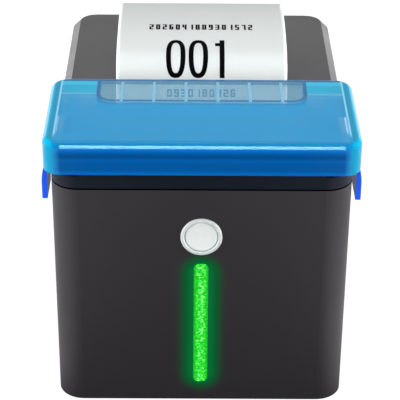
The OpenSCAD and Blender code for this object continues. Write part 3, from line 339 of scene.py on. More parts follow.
def tinted_clear(name, look, box, skirt):
    """Polycarbonate, injection moulded and polished: a blue body that half hides what lies behind each face.

    The flat roof is pale, and painted palest over the paper mouth, as painted light on the paper seen through
    it. Towards the rear a brighter shelf and lip are painted where the rear wall lies under the roof, with a
    painted light line ahead of them and a painted dark line along the rim. The walls, the foot of the wall
    round the mouth and the tabs are looked through along their length, so that they are deeper in colour and
    hide more, and the lower side walls carry painted shade. The thin ribs, and the inner turn from the roof
    into each side wall, are painted paler as painted highlights. The front wall carries painted stripes of
    light and shade up its height."""
    made, tree, shader, place = begin(name)
    axis = node(tree, "ShaderNodeSeparateXYZ", {0: place})
    deep, height = axis.outputs["Y"], axis.outputs["Z"]
    width = node(tree, "ShaderNodeMath", {0: axis.outputs["X"]}, operation="ABSOLUTE").outputs[0]
    half, front, rear, roof = look.hood_half, box[0][1], box[1][1], box[1][2]
    edge, soft = look.hood_edge, 0.3 * MM
    mouth, bend, foot = front + look.mouth_front, look.mouth_bend, look.mouth_wall
    # How far a point lies outside the mouth's round-cornered plan
    past_x = node(tree, "ShaderNodeMath", {0: width, 1: look.mouth_half - bend}, operation="SUBTRACT")
    past_y = node(tree, "ShaderNodeMath", {0: mouth + bend, 1: deep}, operation="SUBTRACT")
    past = node(tree, "ShaderNodeCombineXYZ", {0: past_x.outputs[0], 1: past_y.outputs[0]})
    corner = node(tree, "ShaderNodeVectorMath", {0: past.outputs[0]}, operation="MAXIMUM")
    outside = node(tree, "ShaderNodeVectorMath", {0: corner.outputs[0]}, operation="LENGTH").outputs["Value"]
    # How far it lies from the middle of the nearest rib, as a share of their pitch
    share = node(tree, "ShaderNodeMath", {0: axis.outputs["X"], 1: look.rib_pitch}, operation="DIVIDE")
    part = node(tree, "ShaderNodeMath", {0: share.outputs[0]}, operation="FRACT")
    off = node(tree, "ShaderNodeMath", {0: part.outputs[0], 1: 0.5}, operation="SUBTRACT")
    rib = node(tree, "ShaderNodeMath", {0: off.outputs[0]}, operation="ABSOLUTE").outputs[0]
    thin = look.rib_wall / 2 / look.rib_pitch
    rib_front, rib_rear, rib_end = mouth - foot, rear - 5 * MM, 3 * look.rib_pitch
    # Each zone: what it is measured by, where it starts and where it is full
    masks = {}
    for key, value, start, end in (
        ("side", width, half - 5.2 * MM, half - 4.2 * MM),
        ("rear", deep, rear - 1.3 * edge, rear - edge),
        ("front", deep, front + edge, front + 0.5 * edge),
        ("low", height, roof - 0.4 * edge, roof - edge),
        ("brow", deep, front + 1.2 * edge, front + edge),
        ("tab", height, skirt, skirt - 3 * MM),
        # Painted light and shade at the rear: the shelf and lip are painted brighter where the rear wall lies
        # under the roof, the crest is a painted light line and the rim a painted dark line
        ("shelf", deep, rear - 18.5 * MM, rear - 18 * MM),
        ("crest end", deep, rear - 16.5 * MM, rear - 17 * MM),
        ("lip", deep, rear - 9 * MM, rear - 8 * MM),
        ("rim", deep, rear - 1.6 * edge, rear - 1.4 * edge),
        # The roof over the paper mouth is painted paler, as painted light on the paper seen through it
        ("mouth", outside, bend, bend - soft),
        ("foot in", outside, bend - soft, bend),
        ("foot out", outside, bend + foot, bend + foot - soft),
        # The thin ribs are painted paler as painted highlights
        ("thin", rib, 1.6 * thin, thin),
        ("rib front", deep, rib_front, rib_front + soft),
        ("rib rear", deep, rib_rear, rib_rear - soft),
        ("ribs", width, rib_end, rib_end - 0.1 * look.rib_pitch),
        ("up", height, skirt, roof - edge),
        ("mid", width, half - 4 * MM, half - 8 * MM),
        # A narrow line at each inner turn of the side walls is painted paler as a painted highlight
        ("streak in", width, half - 5.6 * MM, half - 5.1 * MM),
        ("streak out", width, half - 4.4 * MM, half - 4.8 * MM),
        ("streak run", deep, front + 6 * MM, front + 10 * MM),
    ):
        masks[key] = node(tree, "ShaderNodeMapRange", {
            "Value": value, "From Min": start, "From Max": end
        }).outputs[0]
    for key, first, second in (
        ("crest", "shelf", "crest end"), ("foot", "foot in", "foot out"), ("rib run", "rib front", "rib rear"),
        ("rib row", "rib run", "ribs"), ("rib", "thin", "rib row"), ("face", "front", "low"),
        ("wall", "face", "mid"), ("painted_gleam", "streak in", "streak out"), ("painted_streak", "painted_gleam", "streak run"),
        ("back", "rear", "low"), ("flank", "side", "low"),
    ):
        masks[key] = node(tree, "ShaderNodeMath", {
            0: masks[first], 1: masks[second]
        }, operation="MULTIPLY").outputs[0]
    # The front wall's colour is a ramp of painted light and shade up its height
    painted_bands = node(tree, "ShaderNodeValToRGB", {0: masks["up"]})
    ramp = painted_bands.color_ramp
    ramp.elements[0].color = rgba(look.hood_front, HOOD_PAINTED_BANDS[0][1])
    ramp.elements[1].color = rgba(look.hood_front, HOOD_PAINTED_BANDS[-1][1])
    for at, shade in HOOD_PAINTED_BANDS[1:-1]:
        ramp.elements.new(at).color = rgba(look.hood_front, shade)
    tint, veil = rgba(look.hood), HOOD_VEIL["roof"]
    # Later zones lie over earlier ones
    for key, tint_here, cover in (
        # Shelf and lip: painted brighter for the rear wall beneath; crest: painted light line; rim: painted
        # dark line
        ("shelf", rgba(look.hood_rear), "shelf"), ("lip", rgba(look.hood_rear), "lip"),
        # The roof over the mouth takes the pale tint as painted light
        ("crest", rgba(look.hood_painted_pale), "crest"), ("mouth", rgba(look.hood_painted_pale), "mouth"),
        ("rim", rgba(look.hood_foot), "rim"), ("foot", rgba(look.hood_foot), "foot"),
        # The ribs here and the inner turns below take the pale tint as painted highlights
        ("rib", rgba(look.hood_painted_pale), "rib"), ("back", rgba(look.hood_rear), "rear"),
        ("brow", rgba(look.hood_brow), "brow"), ("side", rgba(look.hood_side), "side"),
        # The lower side walls take a darker copy of the side tint as painted shade
        ("painted_streak", rgba(look.hood_painted_pale), "side"), ("flank", rgba(look.hood_side, 0.7), "side"),
        ("wall", painted_bands.outputs[0], "front"), ("tab", rgba(look.hood_tab), "tab"),
    ):
        tint = node(tree, "ShaderNodeMix", {
            "Factor": masks[key], "A": tint, "B": tint_here
        }, data_type="RGBA").outputs[2]
        veil = node(tree, "ShaderNodeMix", {
            "Factor": masks[key], "A": veil, "B": HOOD_VEIL[cover]
        }).outputs[0]
    flow = node(tree, "ShaderNodeTexNoise", {"Vector": place, "Scale": per_metre(30), "Detail": 0.0})
    bump = node(tree, "ShaderNodeBump", {
        "Height": flow.outputs["Fac"], "Strength": 0.1, "Distance": 0.2 * MM
    })
    walls = node(tree, "ShaderNodeMath", {0: masks["side"], 1: masks["wall"]}, operation="MAXIMUM")
    roof_level, wall_level = 0.5, 0.15
    sheen = node(tree, "ShaderNodeMapRange", {
        "Value": walls.outputs[0], "To Min": roof_level, "To Max": wall_level
    })
    # Some of the gloss returns from each wall's far face, through the dye
    feed(tree, shader, {
        "Base Color": tint, "Alpha": veil, "Specular IOR Level": sheen.outputs[0], "Normal": bump.outputs[0],
        "Roughness": 0.06, "IOR": POLYCARBONATE_IOR, "Specular Tint": rgba(look.hood_gloss)
    })
    return made


def satin(name, rgb, rough=0.35):
    """ABS moulded in a polished tool: even colour, soft reflections and the faintest ripple."""
    made, tree, shader, place = begin(name)
    ripple, shade = speckled(tree, place, 3, rgb, 0.95, 1.05, 2.0)
    bump = node(tree, "ShaderNodeBump", {"Height": ripple, "Strength": 0.1, "Distance": 0.05 * MM})
    feed(tree, shader, {
        "Base Color": shade, "Normal": bump.outputs[0], "Roughness": rough, "IOR": ABS_IOR
    })
    return made


def prism_light(name, look, bar):
    """Acrylic with rows of moulded prisms, lit from behind: a mottle of pale and deeper spots along the middle.

    The spots are of real prism size. Across the bar they fade out towards two plain, deeper edges."""
    made, tree, shader, place = begin(name)
    lo, hi = bar
    half = (hi[0] - lo[0]) / 2
    plain_edge, full_middle, edge_level = 0.2 * MM, 0.8 * MM, 0.05
    axis = node(tree, "ShaderNodeSeparateXYZ", {0: place})
    off = node(tree, "ShaderNodeMath", {0: axis.outputs["X"], 1: (lo[0] + hi[0]) / 2}, operation="SUBTRACT")
    away = node(tree, "ShaderNodeMath", {0: off.outputs[0]}, operation="ABSOLUTE")
    middle = node(tree, "ShaderNodeMapRange", {
        "Value": away.outputs[0], "From Min": full_middle, "From Max": half - plain_edge,
        "To Min": 1.0, "To Max": 0.0
    }, interpolation_type="SMOOTHSTEP")
    mottle = node(tree, "ShaderNodeTexNoise", {"Vector": place, "Scale": per_metre(1.2), "Detail": 1.0})
    spot = node(tree, "ShaderNodeMapRange", {
        "Value": mottle.outputs["Fac"], "From Min": 0.35, "From Max": 0.68, "To Min": 0.3, "To Max": 0.97
    })
    level = node(tree, "ShaderNodeMix", {"Factor": middle.outputs[0], "A": edge_level, "B": spot.outputs[0]})
    shine = node(tree, "ShaderNodeValToRGB", {0: level.outputs[0]})
    ramp = shine.color_ramp
    ramp.elements[0].color = rgba(look.light, 0.2)
    ramp.elements[1].color = rgba(look.spark)
    ramp.elements.new(0.45).color = rgba(look.light_deep)
    ramp.elements.new(0.75).color = rgba(look.light_bright)
    bump = node(tree, "ShaderNodeBump", {"Height": spot.outputs[0], "Strength": 0.5, "Distance": 0.3 * MM})
    feed(tree, shader, {
        "Emission Color": shine.outputs[0], "Emission Strength": 1.0, "Normal": bump.outputs[0],
        "Base Color": rgba(look.light, 0.15), "Roughness": 0.2
    })
    return made


def ground_steel(name, rgb, rough=0.32, stretch=(0.02, 1.0, 1.0), lay=0.25):
    """Steel or alloy with a lay of fine grinding lines along one axis, drawn coarse enough to show."""
    made, tree, shader, place = begin(name)
    along = node(tree, "ShaderNodeMapping", {"Vector": place, "Scale": stretch})
    lines, shade = speckled(tree, along.outputs[0], lay, rgb, 0.85, 1.1, 3.0, 0.7)
    level = node(tree, "ShaderNodeMapRange", {
        "Value": lines, "From Min": 0.3, "From Max": 0.7, "To Min": rough - 0.1, "To Max": rough + 0.12
    })
    bump = node(tree, "ShaderNodeBump", {"Height": lines, "Strength": 0.15, "Distance": 0.02 * MM})
    feed(tree, shader, {
        "Base Color": shade, "Roughness": level.outputs[0], "Normal": bump.outputs[0], "Metallic": 1.0
    })
    return made


def rubber(name, rgb):
    """Nitrile rubber, moulded and ground: dull, with a fine mottled nap."""
    made, tree, shader, place = begin(name)
    nap, shade = speckled(tree, place, 0.5, rgb, 0.8, 1.25, 3.0)
    bump = node(tree, "ShaderNodeBump", {"Height": nap, "Strength": 0.3, "Distance": 0.03 * MM})
    feed(tree, shader, {
        "Base Color": shade, "Normal": bump.outputs[0], "Roughness": 0.8, "IOR": RUBBER_IOR
    })
    return made


def circuit(name, rgb, line):
    """Glass-epoxy board under solder mask: runs of copper show as paler lines under the lacquer."""
    made, tree, shader, place = begin(name)
    runs = node(tree, "ShaderNodeTexBrick", {
        "Vector": place, "Scale": per_metre(6), "Color1": rgba(rgb), "Color2": rgba(rgb, 0.85),
        "Mortar": rgba(line), "Mortar Size": 0.06, "Brick Width": 1.7, "Row Height": 0.6
    })
    bump = node(tree, "ShaderNodeBump", {
        "Height": runs.outputs["Fac"], "Strength": 0.2, "Distance": 0.04 * MM
    })
    feed(tree, shader, {"Base Color": runs.outputs["Color"], "Normal": bump.outputs[0], "Roughness": 0.35})
    return made


def thermal_paper(name, rgb):
    """Thermal paper, calendered and coated: smooth white with a trace of fibre and a faint sheen."""
    made, tree, shader, place = begin(name)
    fibre, shade = speckled(tree, place, 1.2, rgb, 0.96, 1.02, 5.0, 0.7)
    bump = node(tree, "ShaderNodeBump", {"Height": fibre, "Strength": 0.1, "Distance": 0.02 * MM})
    feed(tree, shader, {
        "Base Color": shade, "Normal": bump.outputs[0], "Roughness": 0.6, "IOR": PAPER_IOR,
        "Specular IOR Level": 0.3
    })
    return made


def wound_paper(name, rgb, centre):
    """A wound roll of thermal paper: its ends show the turns as fine rings about the roll's own axis."""
    made, tree, shader, place = begin(name)
    local = node(tree, "ShaderNodeMapping", {"Vector": place, "Location": tuple(-c for c in centre)})
    # A real turn is 0.06 mm thick, so the rings are drawn ten times coarser to show.
    rings = node(tree, "ShaderNodeTexWave", {
        "Vector": local.outputs[0], "Scale": per_metre(0.6) / 20, "Distortion": 0.4, "Detail": 2.0
    }, wave_type="RINGS", rings_direction="X")
    shade = node(tree, "ShaderNodeMix", {
        "Factor": rings.outputs["Fac"], "A": rgba(rgb, 0.88), "B": rgba(rgb)
    }, data_type="RGBA")
    feed(tree, shader, {"Base Color": shade.outputs[2], "Roughness": 0.7})
    return made


def card(name, rgb):
    """Grey-brown board wound in a spiral, with visible fibre."""
    made, tree, shader, place = begin(name)
    _, shade = speckled(tree, place, 0.8, rgb, 0.75, 1.2, 6.0, 0.75)
    feed(tree, shader, {"Base Color": shade, "Roughness": 0.9})
    return made


def burnt_coating(name, rgb):
    """Thermal coating darkened by the head: flat grey-black, mottled where the dots meet."""
    made, tree, shader, place = begin(name)
    _, shade = speckled(tree, place, 0.4, rgb, 0.7, 1.5, 2.0)
    feed(tree, shader, {"Base Color": shade, "Roughness": 0.8, "Specular IOR Level": 0.04})
    return made


def dress(material, *nodes):
    """Puts one material on CAD nodes."""
    for name in nodes:
        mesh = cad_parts[name].data
        mesh.materials.clear()
        mesh.materials.append(material)


# Surfaces

def grid_faces(rows, columns):
    """Quads of a grid whose points run row by row."""
    corner = (np.arange(rows - 1)[:, None] * columns + np.arange(columns - 1)).ravel()
    return np.stack([corner, corner + 1, corner + columns + 1, corner + columns], 1)


def mesh_piece(name, points, faces, material, body, smooth=False):
    """Makes a piece from points and quads, with its material and slot. It rides on a body, if given one."""
    mesh = bpy.data.meshes.new(name)
    mesh.from_pydata(points.tolist(), [], faces.tolist())
    mesh.update()
    mesh.polygons.foreach_set("use_smooth", np.full(len(mesh.polygons), smooth))
    piece = bpy.data.objects.new(name, mesh)
    bpy.context.scene.collection.objects.link(piece)
    mesh.materials.append(material)
    if body:
        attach(piece, body)
    return piece


def leaf_spring(left, right, toe, heel, tip, thick, steps=16):
    """A leaf bent up from a flat foot: a rectangle carried along the line toe, heel, tip in Y and Z.

    The blade's own line is heel + (tip - heel) * s, for s from 0 to 1. Its thickness is measured along Y."""
    toe, heel, tip = np.array(toe), np.array(heel), np.array(tip)
    rise = np.linspace(0, 1, steps)[:, None]
    blade = heel - [thick, 0] + (tip - heel + [thick, 0]) * rise
    blade[0] += [0, thick]
    back = np.vstack([toe + [0, thick], blade])
    face = np.vstack([toe, heel, (heel + (tip + [thick, 0] - heel) * rise)[1:]])
    rows = len(back)
    points = np.array([(x, y, z) for line in (back, face) for x in (left, right) for y, z in line])
    a, b, c, d = (np.arange(rows - 1) + k * rows for k in range(4))
    sides = [np.stack([p, q, q + 1, p + 1], 1) for p, q in ((a, b), (b, d), (d, c), (c, a))]
    ends = [(0, 2 * rows, 3 * rows, rows), (rows - 1, 2 * rows - 1, 4 * rows - 1, 3 * rows - 1)]
    return points, np.vstack(sides + [ends])


class TicketPath:
    """The ticket's line in Y and Z: upright, an arc to the lean, straight, an arc over the fold, a long curl.

    Its angle is linear in the length along it, and Y and Z are running sums of the angle's cosine and sine."""

    def __init__(self, shape):
        up, count = math.pi / 2, 2000
        spans = [
            (shape.foot, up, up),
            (shape.turn * shape.lean, up, up - shape.lean),
            (shape.rise, up - shape.lean, up - shape.lean),
            (shape.bend * (up - shape.lean - shape.flat), up - shape.lean, shape.flat),
            (shape.curl * (shape.flat - shape.end), shape.flat, shape.end),
        ]
        self.knots = np.cumsum([0.0] + [s[0] for s in spans])
        self.angles = np.array([spans[0][1]] + [s[2] for s in spans])
        self.total = self.knots[-1]
        fine = np.linspace(0, self.total, count + 1)
        angle = np.interp(fine, self.knots, self.angles)
        between = (angle[1:] + angle[:-1]) / 2
        step = self.total / count
        self.fine = fine
        self.y = shape.slot_y + np.concatenate([[0], np.cumsum(np.cos(between)) * step])
        self.z = shape.low + np.concatenate([[0], np.cumsum(np.sin(between)) * step])

    def surface(self, x, s, lift=0.0):
        """Points at x across the ticket and s along it, lifted off the printed side along the normal."""
        angle = np.interp(s, self.knots, self.angles)
        y = np.interp(s, self.fine, self.y) - lift * np.sin(angle)
        z = np.interp(s, self.fine, self.z) + lift * np.cos(angle)
        return np.stack([x, y, z], -1).reshape(-1, 3)


# Which of the seven strokes each figure uses: top, upper right, lower right, bottom, lower left, upper left and
# middle
STROKES = {
    0: (0, 1, 2, 3, 4, 5), 1: (1, 2), 2: (0, 1, 6, 4, 3), 3: (0, 1, 6, 2, 3), 4: (5, 6, 1, 2),
    5: (0, 5, 6, 2, 3), 6: (0, 5, 6, 4, 2, 3), 7: (0, 1, 2), 8: (0, 1, 2, 3, 4, 5, 6), 9: (6, 5, 0, 1, 2, 3),
}


def figure_boxes(digit, x, s, wide, tall, pen):
    """The strokes of one figure as boxes [x low, x high, s low, s high], from its lower left corner."""
    mid = s + tall / 2
    places = [
        (x, x + wide, s + tall - pen, s + tall), (x + wide - pen, x + wide, mid, s + tall),
        (x + wide - pen, x + wide, s, mid), (x, x + wide, s, s + pen), (x, x + pen, s, mid),
        (x, x + pen, mid, s + tall), (x, x + wide, mid - pen / 2, mid + pen / 2),
    ]
    return [places[k] for k in STROKES[digit]]


def boxes_on(path, boxes, lift, cuts=6):
    """Maps flat boxes onto the ticket: each is a strip of quads that follows the paper."""
    box = np.array(boxes)
    along = np.linspace(0, 1, cuts + 1)
    s = box[:, 2, None] + (box[:, 3] - box[:, 2])[:, None] * along
    x = np.stack([np.repeat(box[:, 0, None], cuts + 1, 1), np.repeat(box[:, 1, None], cuts + 1, 1)], -1)
    points = path.surface(x.ravel(), np.repeat(s.ravel(), 2), lift)
    first = np.arange(len(box)) * 2 * (cuts + 1)
    faces = (first[:, None, None] + grid_faces(cuts + 1, 2)[None]).reshape(-1, 4)
    return points, faces


def ring_on(path, x, s, wide, tall, pen, lift, turns=64, rows=4, power=2.6):
    """A bold round figure: a ring between two superellipses of the given power, laid on the ticket."""
    angle = np.linspace(0, 2 * np.pi, turns + 1)
    cos, sin = np.cos(angle), np.sin(angle)
    scale = (np.abs(cos) ** power + np.abs(sin) ** power) ** (-1 / power)
    across = np.linspace(0, 1, rows)[:, None]
    rx = wide / 2 - pen * across
    rs = tall / 2 - pen * across
    points = path.surface((x + rx * cos * scale).ravel(), (s + rs * sin * scale).ravel(), lift)
    return points, grid_faces(rows, turns + 1)


def joined(parts):
    """Joins several sets of points and faces into one."""
    start = np.cumsum([0] + [len(p) for p, _ in parts])
    return np.concatenate([p for p, _ in parts]), np.concatenate([f + n for (_, f), n in zip(parts, start)])


def row(x, y, z):
    """Points from coordinates of which some are the same for all."""
    return np.stack(np.broadcast_arrays(x, y, z), 1)


def slats(starts, ends, wide, thick):
    """Straight bars: a rectangle, wide along X and thick across, carried from each start to its end."""
    across = np.array([1.0, 0.0, 0.0])
    normal = np.cross(ends - starts, across)
    normal = normal / np.linalg.norm(normal, axis=1, keepdims=True)
    ring = np.array([[-1, -1], [1, -1], [1, 1], [-1, 1]]) / 2
    section = ring[None, :, :1] * wide * across + ring[None, :, 1:] * thick * normal[:, None]
    points = np.concatenate([starts[:, None] + section, ends[:, None] + section], 1)
    box = np.array([[0, 1, 5, 4], [1, 2, 6, 5], [2, 3, 7, 6], [3, 0, 4, 7], [0, 3, 2, 1], [4, 5, 6, 7]])
    faces = np.arange(len(starts))[:, None, None] * 8 + box
    return points.reshape(-1, 3), faces.reshape(-1, 4)


# Operators

class PRINTER_OT_mouldings(bpy.types.Operator):
    """Give the moulded body, cover, lid and inner plastics their finish"""

    bl_idname = "printer.mouldings"
    bl_label = "Finish the mouldings"

    def execute(self, context):
        look = context.scene.printer_finish
        bar = [np.array(c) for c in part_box("light_chips")]
        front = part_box("body_shell")[0][1]
        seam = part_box("cutter_cover")[0][2] - look.seam
        # The body panel carries painted green light round the bar and painted shade at the seam
        dress(painted_glow_panel("ABS, spark-eroded charcoal", look, bar, front, seam), "body_shell")
        dress(moulded("ABS, spark-eroded grey", look.lid, look.grain, 0.42, 0.6), "paper_lid")
        # The cutter cover's black carries painted blue light and painted shade from the hood, and the base pan
        # takes the same
        dress(moulded("ABS, moulded black", look.cover, look.grain, 0.45, 0.2), "cutter_cover", "base_pan")
        inner = moulded("Glass-filled ABS, moulded black", tone("#222226"), look.grain, 0.6, 0.35)
        dress(inner, "paper_bay", "platen_holder", "blade_carriage", "lid_release")
        dress(moulded("Nylon, moulded black", tone("#161618"), look.grain, 0.4, 0.4),
              "power_inlet", "drawer_port", "power_switch", "power_rocker", "tact_switch", "switch_plunger",
              "paper_sensor")
        dress(rubber("Nitrile rubber, ground", tone("#232323")), "platen_roller")
        dress(rubber("Nitrile rubber, moulded", tone("#1c1c1c")), "rubber_feet")
        return {"FINISHED"}


class PRINTER_OT_hood(bpy.types.Operator):
    """Give the splash hood its clear tinted plastic"""

    bl_idname = "printer.hood"
    bl_label = "Finish the splash hood"

    def execute(self, context):
        look = context.scene.printer_finish
        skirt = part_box("paper_lid")[1][2] - look.hood_lap
        clear = tinted_clear("Polycarbonate, tinted and polished", look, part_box("splash_hood"), skirt)
        dress(clear, "splash_hood")
        return {"FINISHED"}


class PRINTER_OT_controls(bpy.types.Operator):
    """Give the button and the light bar their finish"""

    bl_idname = "printer.controls"
    bl_label = "Finish the front controls"

    def execute(self, context):
        look = context.scene.printer_finish
        dress(satin("ABS, moulded pale grey", look.button), "ticket_button")
        dress(satin("ABS, moulded grey, polished", look.ring, 0.3), "button_ring")
        dress(prism_light("Acrylic, prismatic, lit green", look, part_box("light_bar")), "light_bar")
        return {"FINISHED"}


class PRINTER_OT_mechanism(bpy.types.Operator):
    """Give the frame, blades, shafts, gears and motors their finish"""

    bl_idname = "printer.mechanism"
    bl_label = "Finish the mechanism"

    def execute(self, context):
        dress(ground_steel("Steel sheet, zinc plated", tone("#b4b8ba"), 0.4, EVEN, 2.5),
              "mechanism_frame", "cutter_plate", "usb_port", "network_port")
        dress(ground_steel("Tool steel, ground", tone("#c9cdcf"), 0.25), "cutter_blade", "fixed_blade")
        dress(ground_steel("Steel rod, ground", tone("#c4c8ca"), 0.2),
              "head_pin", "hinge_pin", "platen_shaft")
        dress(ground_steel("Steel screws, zinc plated", tone("#b9bcbd"), 0.35, EVEN, 0.6),
              "base_screws", "holder_screws")
        dress(ground_steel("Motor can, drawn steel", tone("#8e9194"), 0.35), "feed_motor", "cutter_motor")
        dress(ground_steel("Aluminium, milled", tone("#c8cacb"), 0.35), "head_plate")
        dress(ground_steel("Bronze, sintered", tone("#b98f4b"), 0.5, EVEN, 0.4), "platen_bushes")
        dress(satin("Alumina, glazed", tone("#e8e4d8"), 0.15), "head_strip")
        dress(satin("Acetal, moulded ivory", tone("#e4e0d0"), 0.3),
              "motor_pinion", "idler_gear", "cutter_pinion", "platen_gear")
        low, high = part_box("head_spring")
        thick, foot, wide = 0.5 * MM, 6 * MM, 8 * MM
        heel = (low[1] + foot, low[2])
        tip = (high[1] - thick, high[2])
        leaves = [leaf_spring(start, start + wide, (low[1], low[2]), heel, tip, thick)
                  for start in (low[0], high[0] - wide)]
        points, faces = joined(leaves)
        steel = ground_steel("Spring steel, rolled and bent", tone("#b5a67c"), 0.3)
        springs = mesh_piece("head_leaf_springs", points, faces, steel, None)
        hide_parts("head_spring")
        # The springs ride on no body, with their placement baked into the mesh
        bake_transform(springs)
        return {"FINISHED"}


class PRINTER_OT_electronics(bpy.types.Operator):
    """Give the boards their finish"""

    bl_idname = "printer.electronics"
    bl_label = "Finish the boards"

    def execute(self, context):
        dress(circuit("Glass epoxy, green solder mask", tone("#1f5a36"), tone("#3f8a58")),
              "main_board", "button_board")
        dress(circuit("Glass epoxy, white solder mask", tone("#e4e6e2"), tone("#c8cac4")), "light_board")
        dress(satin("Silicone lens, moulded", tone("#f4f0c0"), 0.25), "light_chips")
        return {"FINISHED"}


class PRINTER_OT_contacts(bpy.types.Operator):
    """Put the sprung contacts and blades into the rear sockets"""

    bl_idname = "printer.contacts"
    bl_label = "Make the socket contacts"

    def execute(self, context):
        gold = ground_steel("Contact bronze, gold plated", tone("#d8b45c"), 0.28, EVEN, 0.6)
        tin = ground_steel("Contact brass, tin plated", tone("#b8babb"), 0.3, EVEN, 0.6)
        pitch, mouth = 1.02 * MM, 2.6 * MM
        # Sprung wires that rise from the rear of a socket towards its mouth: their count, depth, rise and fall
        for name, socket, count, deep, rise, fall in (
            ("network_contacts", "network_port", 8, 13.95, 4.05, 0.8),
            ("drawer_contacts", "drawer_port", 6, 10.95, 3.4, 0.6),
        ):
            low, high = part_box(socket)
            x = (low[0] + high[0]) / 2 + (np.arange(count) - (count - 1) / 2) * pitch
            middle, face = (low[2] + high[2]) / 2, high[1]
            back = row(x, face - deep * MM, middle + fall * MM)
            front = row(x, face - mouth, middle + rise * MM)
            points, faces = slats(back, front, 0.5 * MM, 0.2 * MM)
            mesh_piece(name, points, faces, gold, "housing")
        # Two flat contacts above the tongue and two below it
        low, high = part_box("usb_port")
        x = (low[0] + high[0]) / 2 + np.array([-1.25, 1.25, -1.25, 1.25]) * MM
        z = (low[2] + high[2]) / 2 + np.array([1.65, 1.65, -1.65, -1.65]) * MM
        back, front = row(x, high[1] - 9 * MM, z), row(x, high[1] - 1.8 * MM, z)
        points, faces = slats(back, front, 1.0 * MM, 0.2 * MM)
        mesh_piece("data_contacts", points, faces, gold, "housing")
        # Three pins on a circle
        low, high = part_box("power_inlet")
        turn, ring = np.radians([90, 210, 330]), 2.5 * MM
        x = (low[0] + high[0]) / 2 + ring * np.cos(turn)
        z = (low[2] + high[2]) / 2 + ring * np.sin(turn)
        back, front = row(x, high[1] - 9.1 * MM, z), row(x, high[1] - 2.5 * MM, z)
        points, faces = slats(back, front, 1.3 * MM, 1.3 * MM)
        mesh_piece("power_pins", points, faces, tin, "housing")
        return {"FINISHED"}


class PRINTER_OT_switch_marks(bpy.types.Operator):
    """Print the on and off signs on the two faces of the power rocker"""

    bl_idname = "printer.switch_marks"
    bl_label = "Print the switch signs"

    def execute(self, context):
        low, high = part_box("power_rocker")
        x, z = (low[0] + high[0]) / 2, (low[2] + high[2]) / 2
        reach, dip, lift = (high[2] - low[2]) / 2, 1.0 * MM, 0.05 * MM
        half_bar, bar_low, bar_high = 0.4 * MM, 2.2 * MM, 5.4 * MM
        ring_in, ring_out, drop, turns = 1.0 * MM, 1.7 * MM, 3.8 * MM, 33
        # A bar above the middle and a ring below it, as points across and up
        across, up = np.meshgrid(np.linspace(-half_bar, half_bar, 2), np.linspace(bar_low, bar_high, 3))
        turn, out = np.meshgrid(np.linspace(0, 2 * np.pi, turns), np.linspace(ring_in, ring_out, 2))
        parts = []
        for right, above, faces in (
            (across, up, grid_faces(3, 2)[:, ::-1]),
            (out * np.cos(turn), out * np.sin(turn) - drop, grid_faces(2, turns)),
        ):
            face = high[1] - dip + dip * np.abs(above) / reach + lift
            parts.append((np.stack([x + right, face, z + above], -1).reshape(-1, 3), faces))
        points, faces = joined(parts)
        ink = satin("Ink, pad printed white", tone("#d6d8d4"), 0.5)
        mesh_piece("switch_signs", points, faces, ink, "rocker")
        return {"FINISHED"}


class PRINTER_OT_paper(bpy.types.Operator):
    """Lay the ticket over the lid, and finish the roll, its core and the web"""

    bl_idname = "printer.paper"
    bl_label = "Make the ticket and the paper"

    def execute(self, context):
        look = context.scene.printer_finish
        shape = context.scene.printer_ticket
        path = TicketPath(shape)
        paper = thermal_paper("Thermal paper, coated", look.paper)
        rows, columns = 141, 41
        along, across = np.linspace(0, path.total, rows), np.linspace(-0.5, 0.5, columns) * shape.width
        s, x = np.meshgrid(along, across, indexing="ij")
        points = path.surface(x.ravel(), s.ravel())
        faces = grid_faces(rows, columns)
        sheet = mesh_piece("ticket_sheet", points, faces, paper, "printed_ticket", True)
        skin = sheet.modifiers.new("Thickness", "SOLIDIFY")
        skin.thickness = shape.thickness
        skin.offset = 0
        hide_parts("ticket")
        dress(paper, "ticket", "paper_web")
        low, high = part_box("paper_roll")
        dress(wound_paper("Thermal paper, wound", look.paper, (low + high) / 2), "paper_roll")
        dress(card("Core board, wound", tone("#9a8a70")), "roll_core")
        return {"FINISHED"}


class PRINTER_OT_print(bpy.types.Operator):
    """Print a queue number and two lines of figures on the ticket"""

    bl_idname = "printer.marks"
    bl_label = "Print the ticket"

    def execute(self, context):
        look = context.scene.printer_finish
        shape = context.scene.printer_ticket
        path = TicketPath(shape)
        lift = shape.thickness / 2 + 0.05 * MM
        tall, low = 22.0 * MM, 20.6 * MM
        middle = low + tall / 2
        zero = 9.1 * MM
        pen = 2.3 * MM
        parts = [ring_on(path, x * MM, middle, zero, tall, pen, lift) for x in (-12.2, -1.6)]
        stem = [(8.4 * MM, 10.7 * MM, low, low + tall)]
        flag = [(6.3 * MM, 8.5 * MM, low + tall - 4.6 * MM, low + tall - 2.2 * MM)]
        parts.append(boxes_on(path, stem + flag, lift, 24))
        # Figures of each line, its left end and height on the ticket, their height, width, pitch and stroke
        lines = [((2, 0, 2, 6, 0, 4, 1, 8, 0, 9, 3, 0, 1, 5, 7, 2), (-25.0, 51.6, 4.8, 2.0, 3.15, 0.85)),
                 ((0, 9, 3, 0, 1, 8, 0, 4, 2, 6), (-16.2, 11.8, 3.6, 2.3, 3.3, 0.75))]
        small = []
        for figures, measures in lines:
            left, start, high, wide, pitch, stroke = np.array(measures) * MM
            for k, digit in enumerate(figures):
                small += figure_boxes(digit, left + k * pitch, start, wide, high, stroke)
        parts.append(boxes_on(path, small, lift, 2))
        points, faces = joined(parts)
        ink = burnt_coating("Thermal coating, heated", look.ink)
        mesh_piece("ticket_marks", points, faces, ink, "printed_ticket", True)
        return {"FINISHED"}


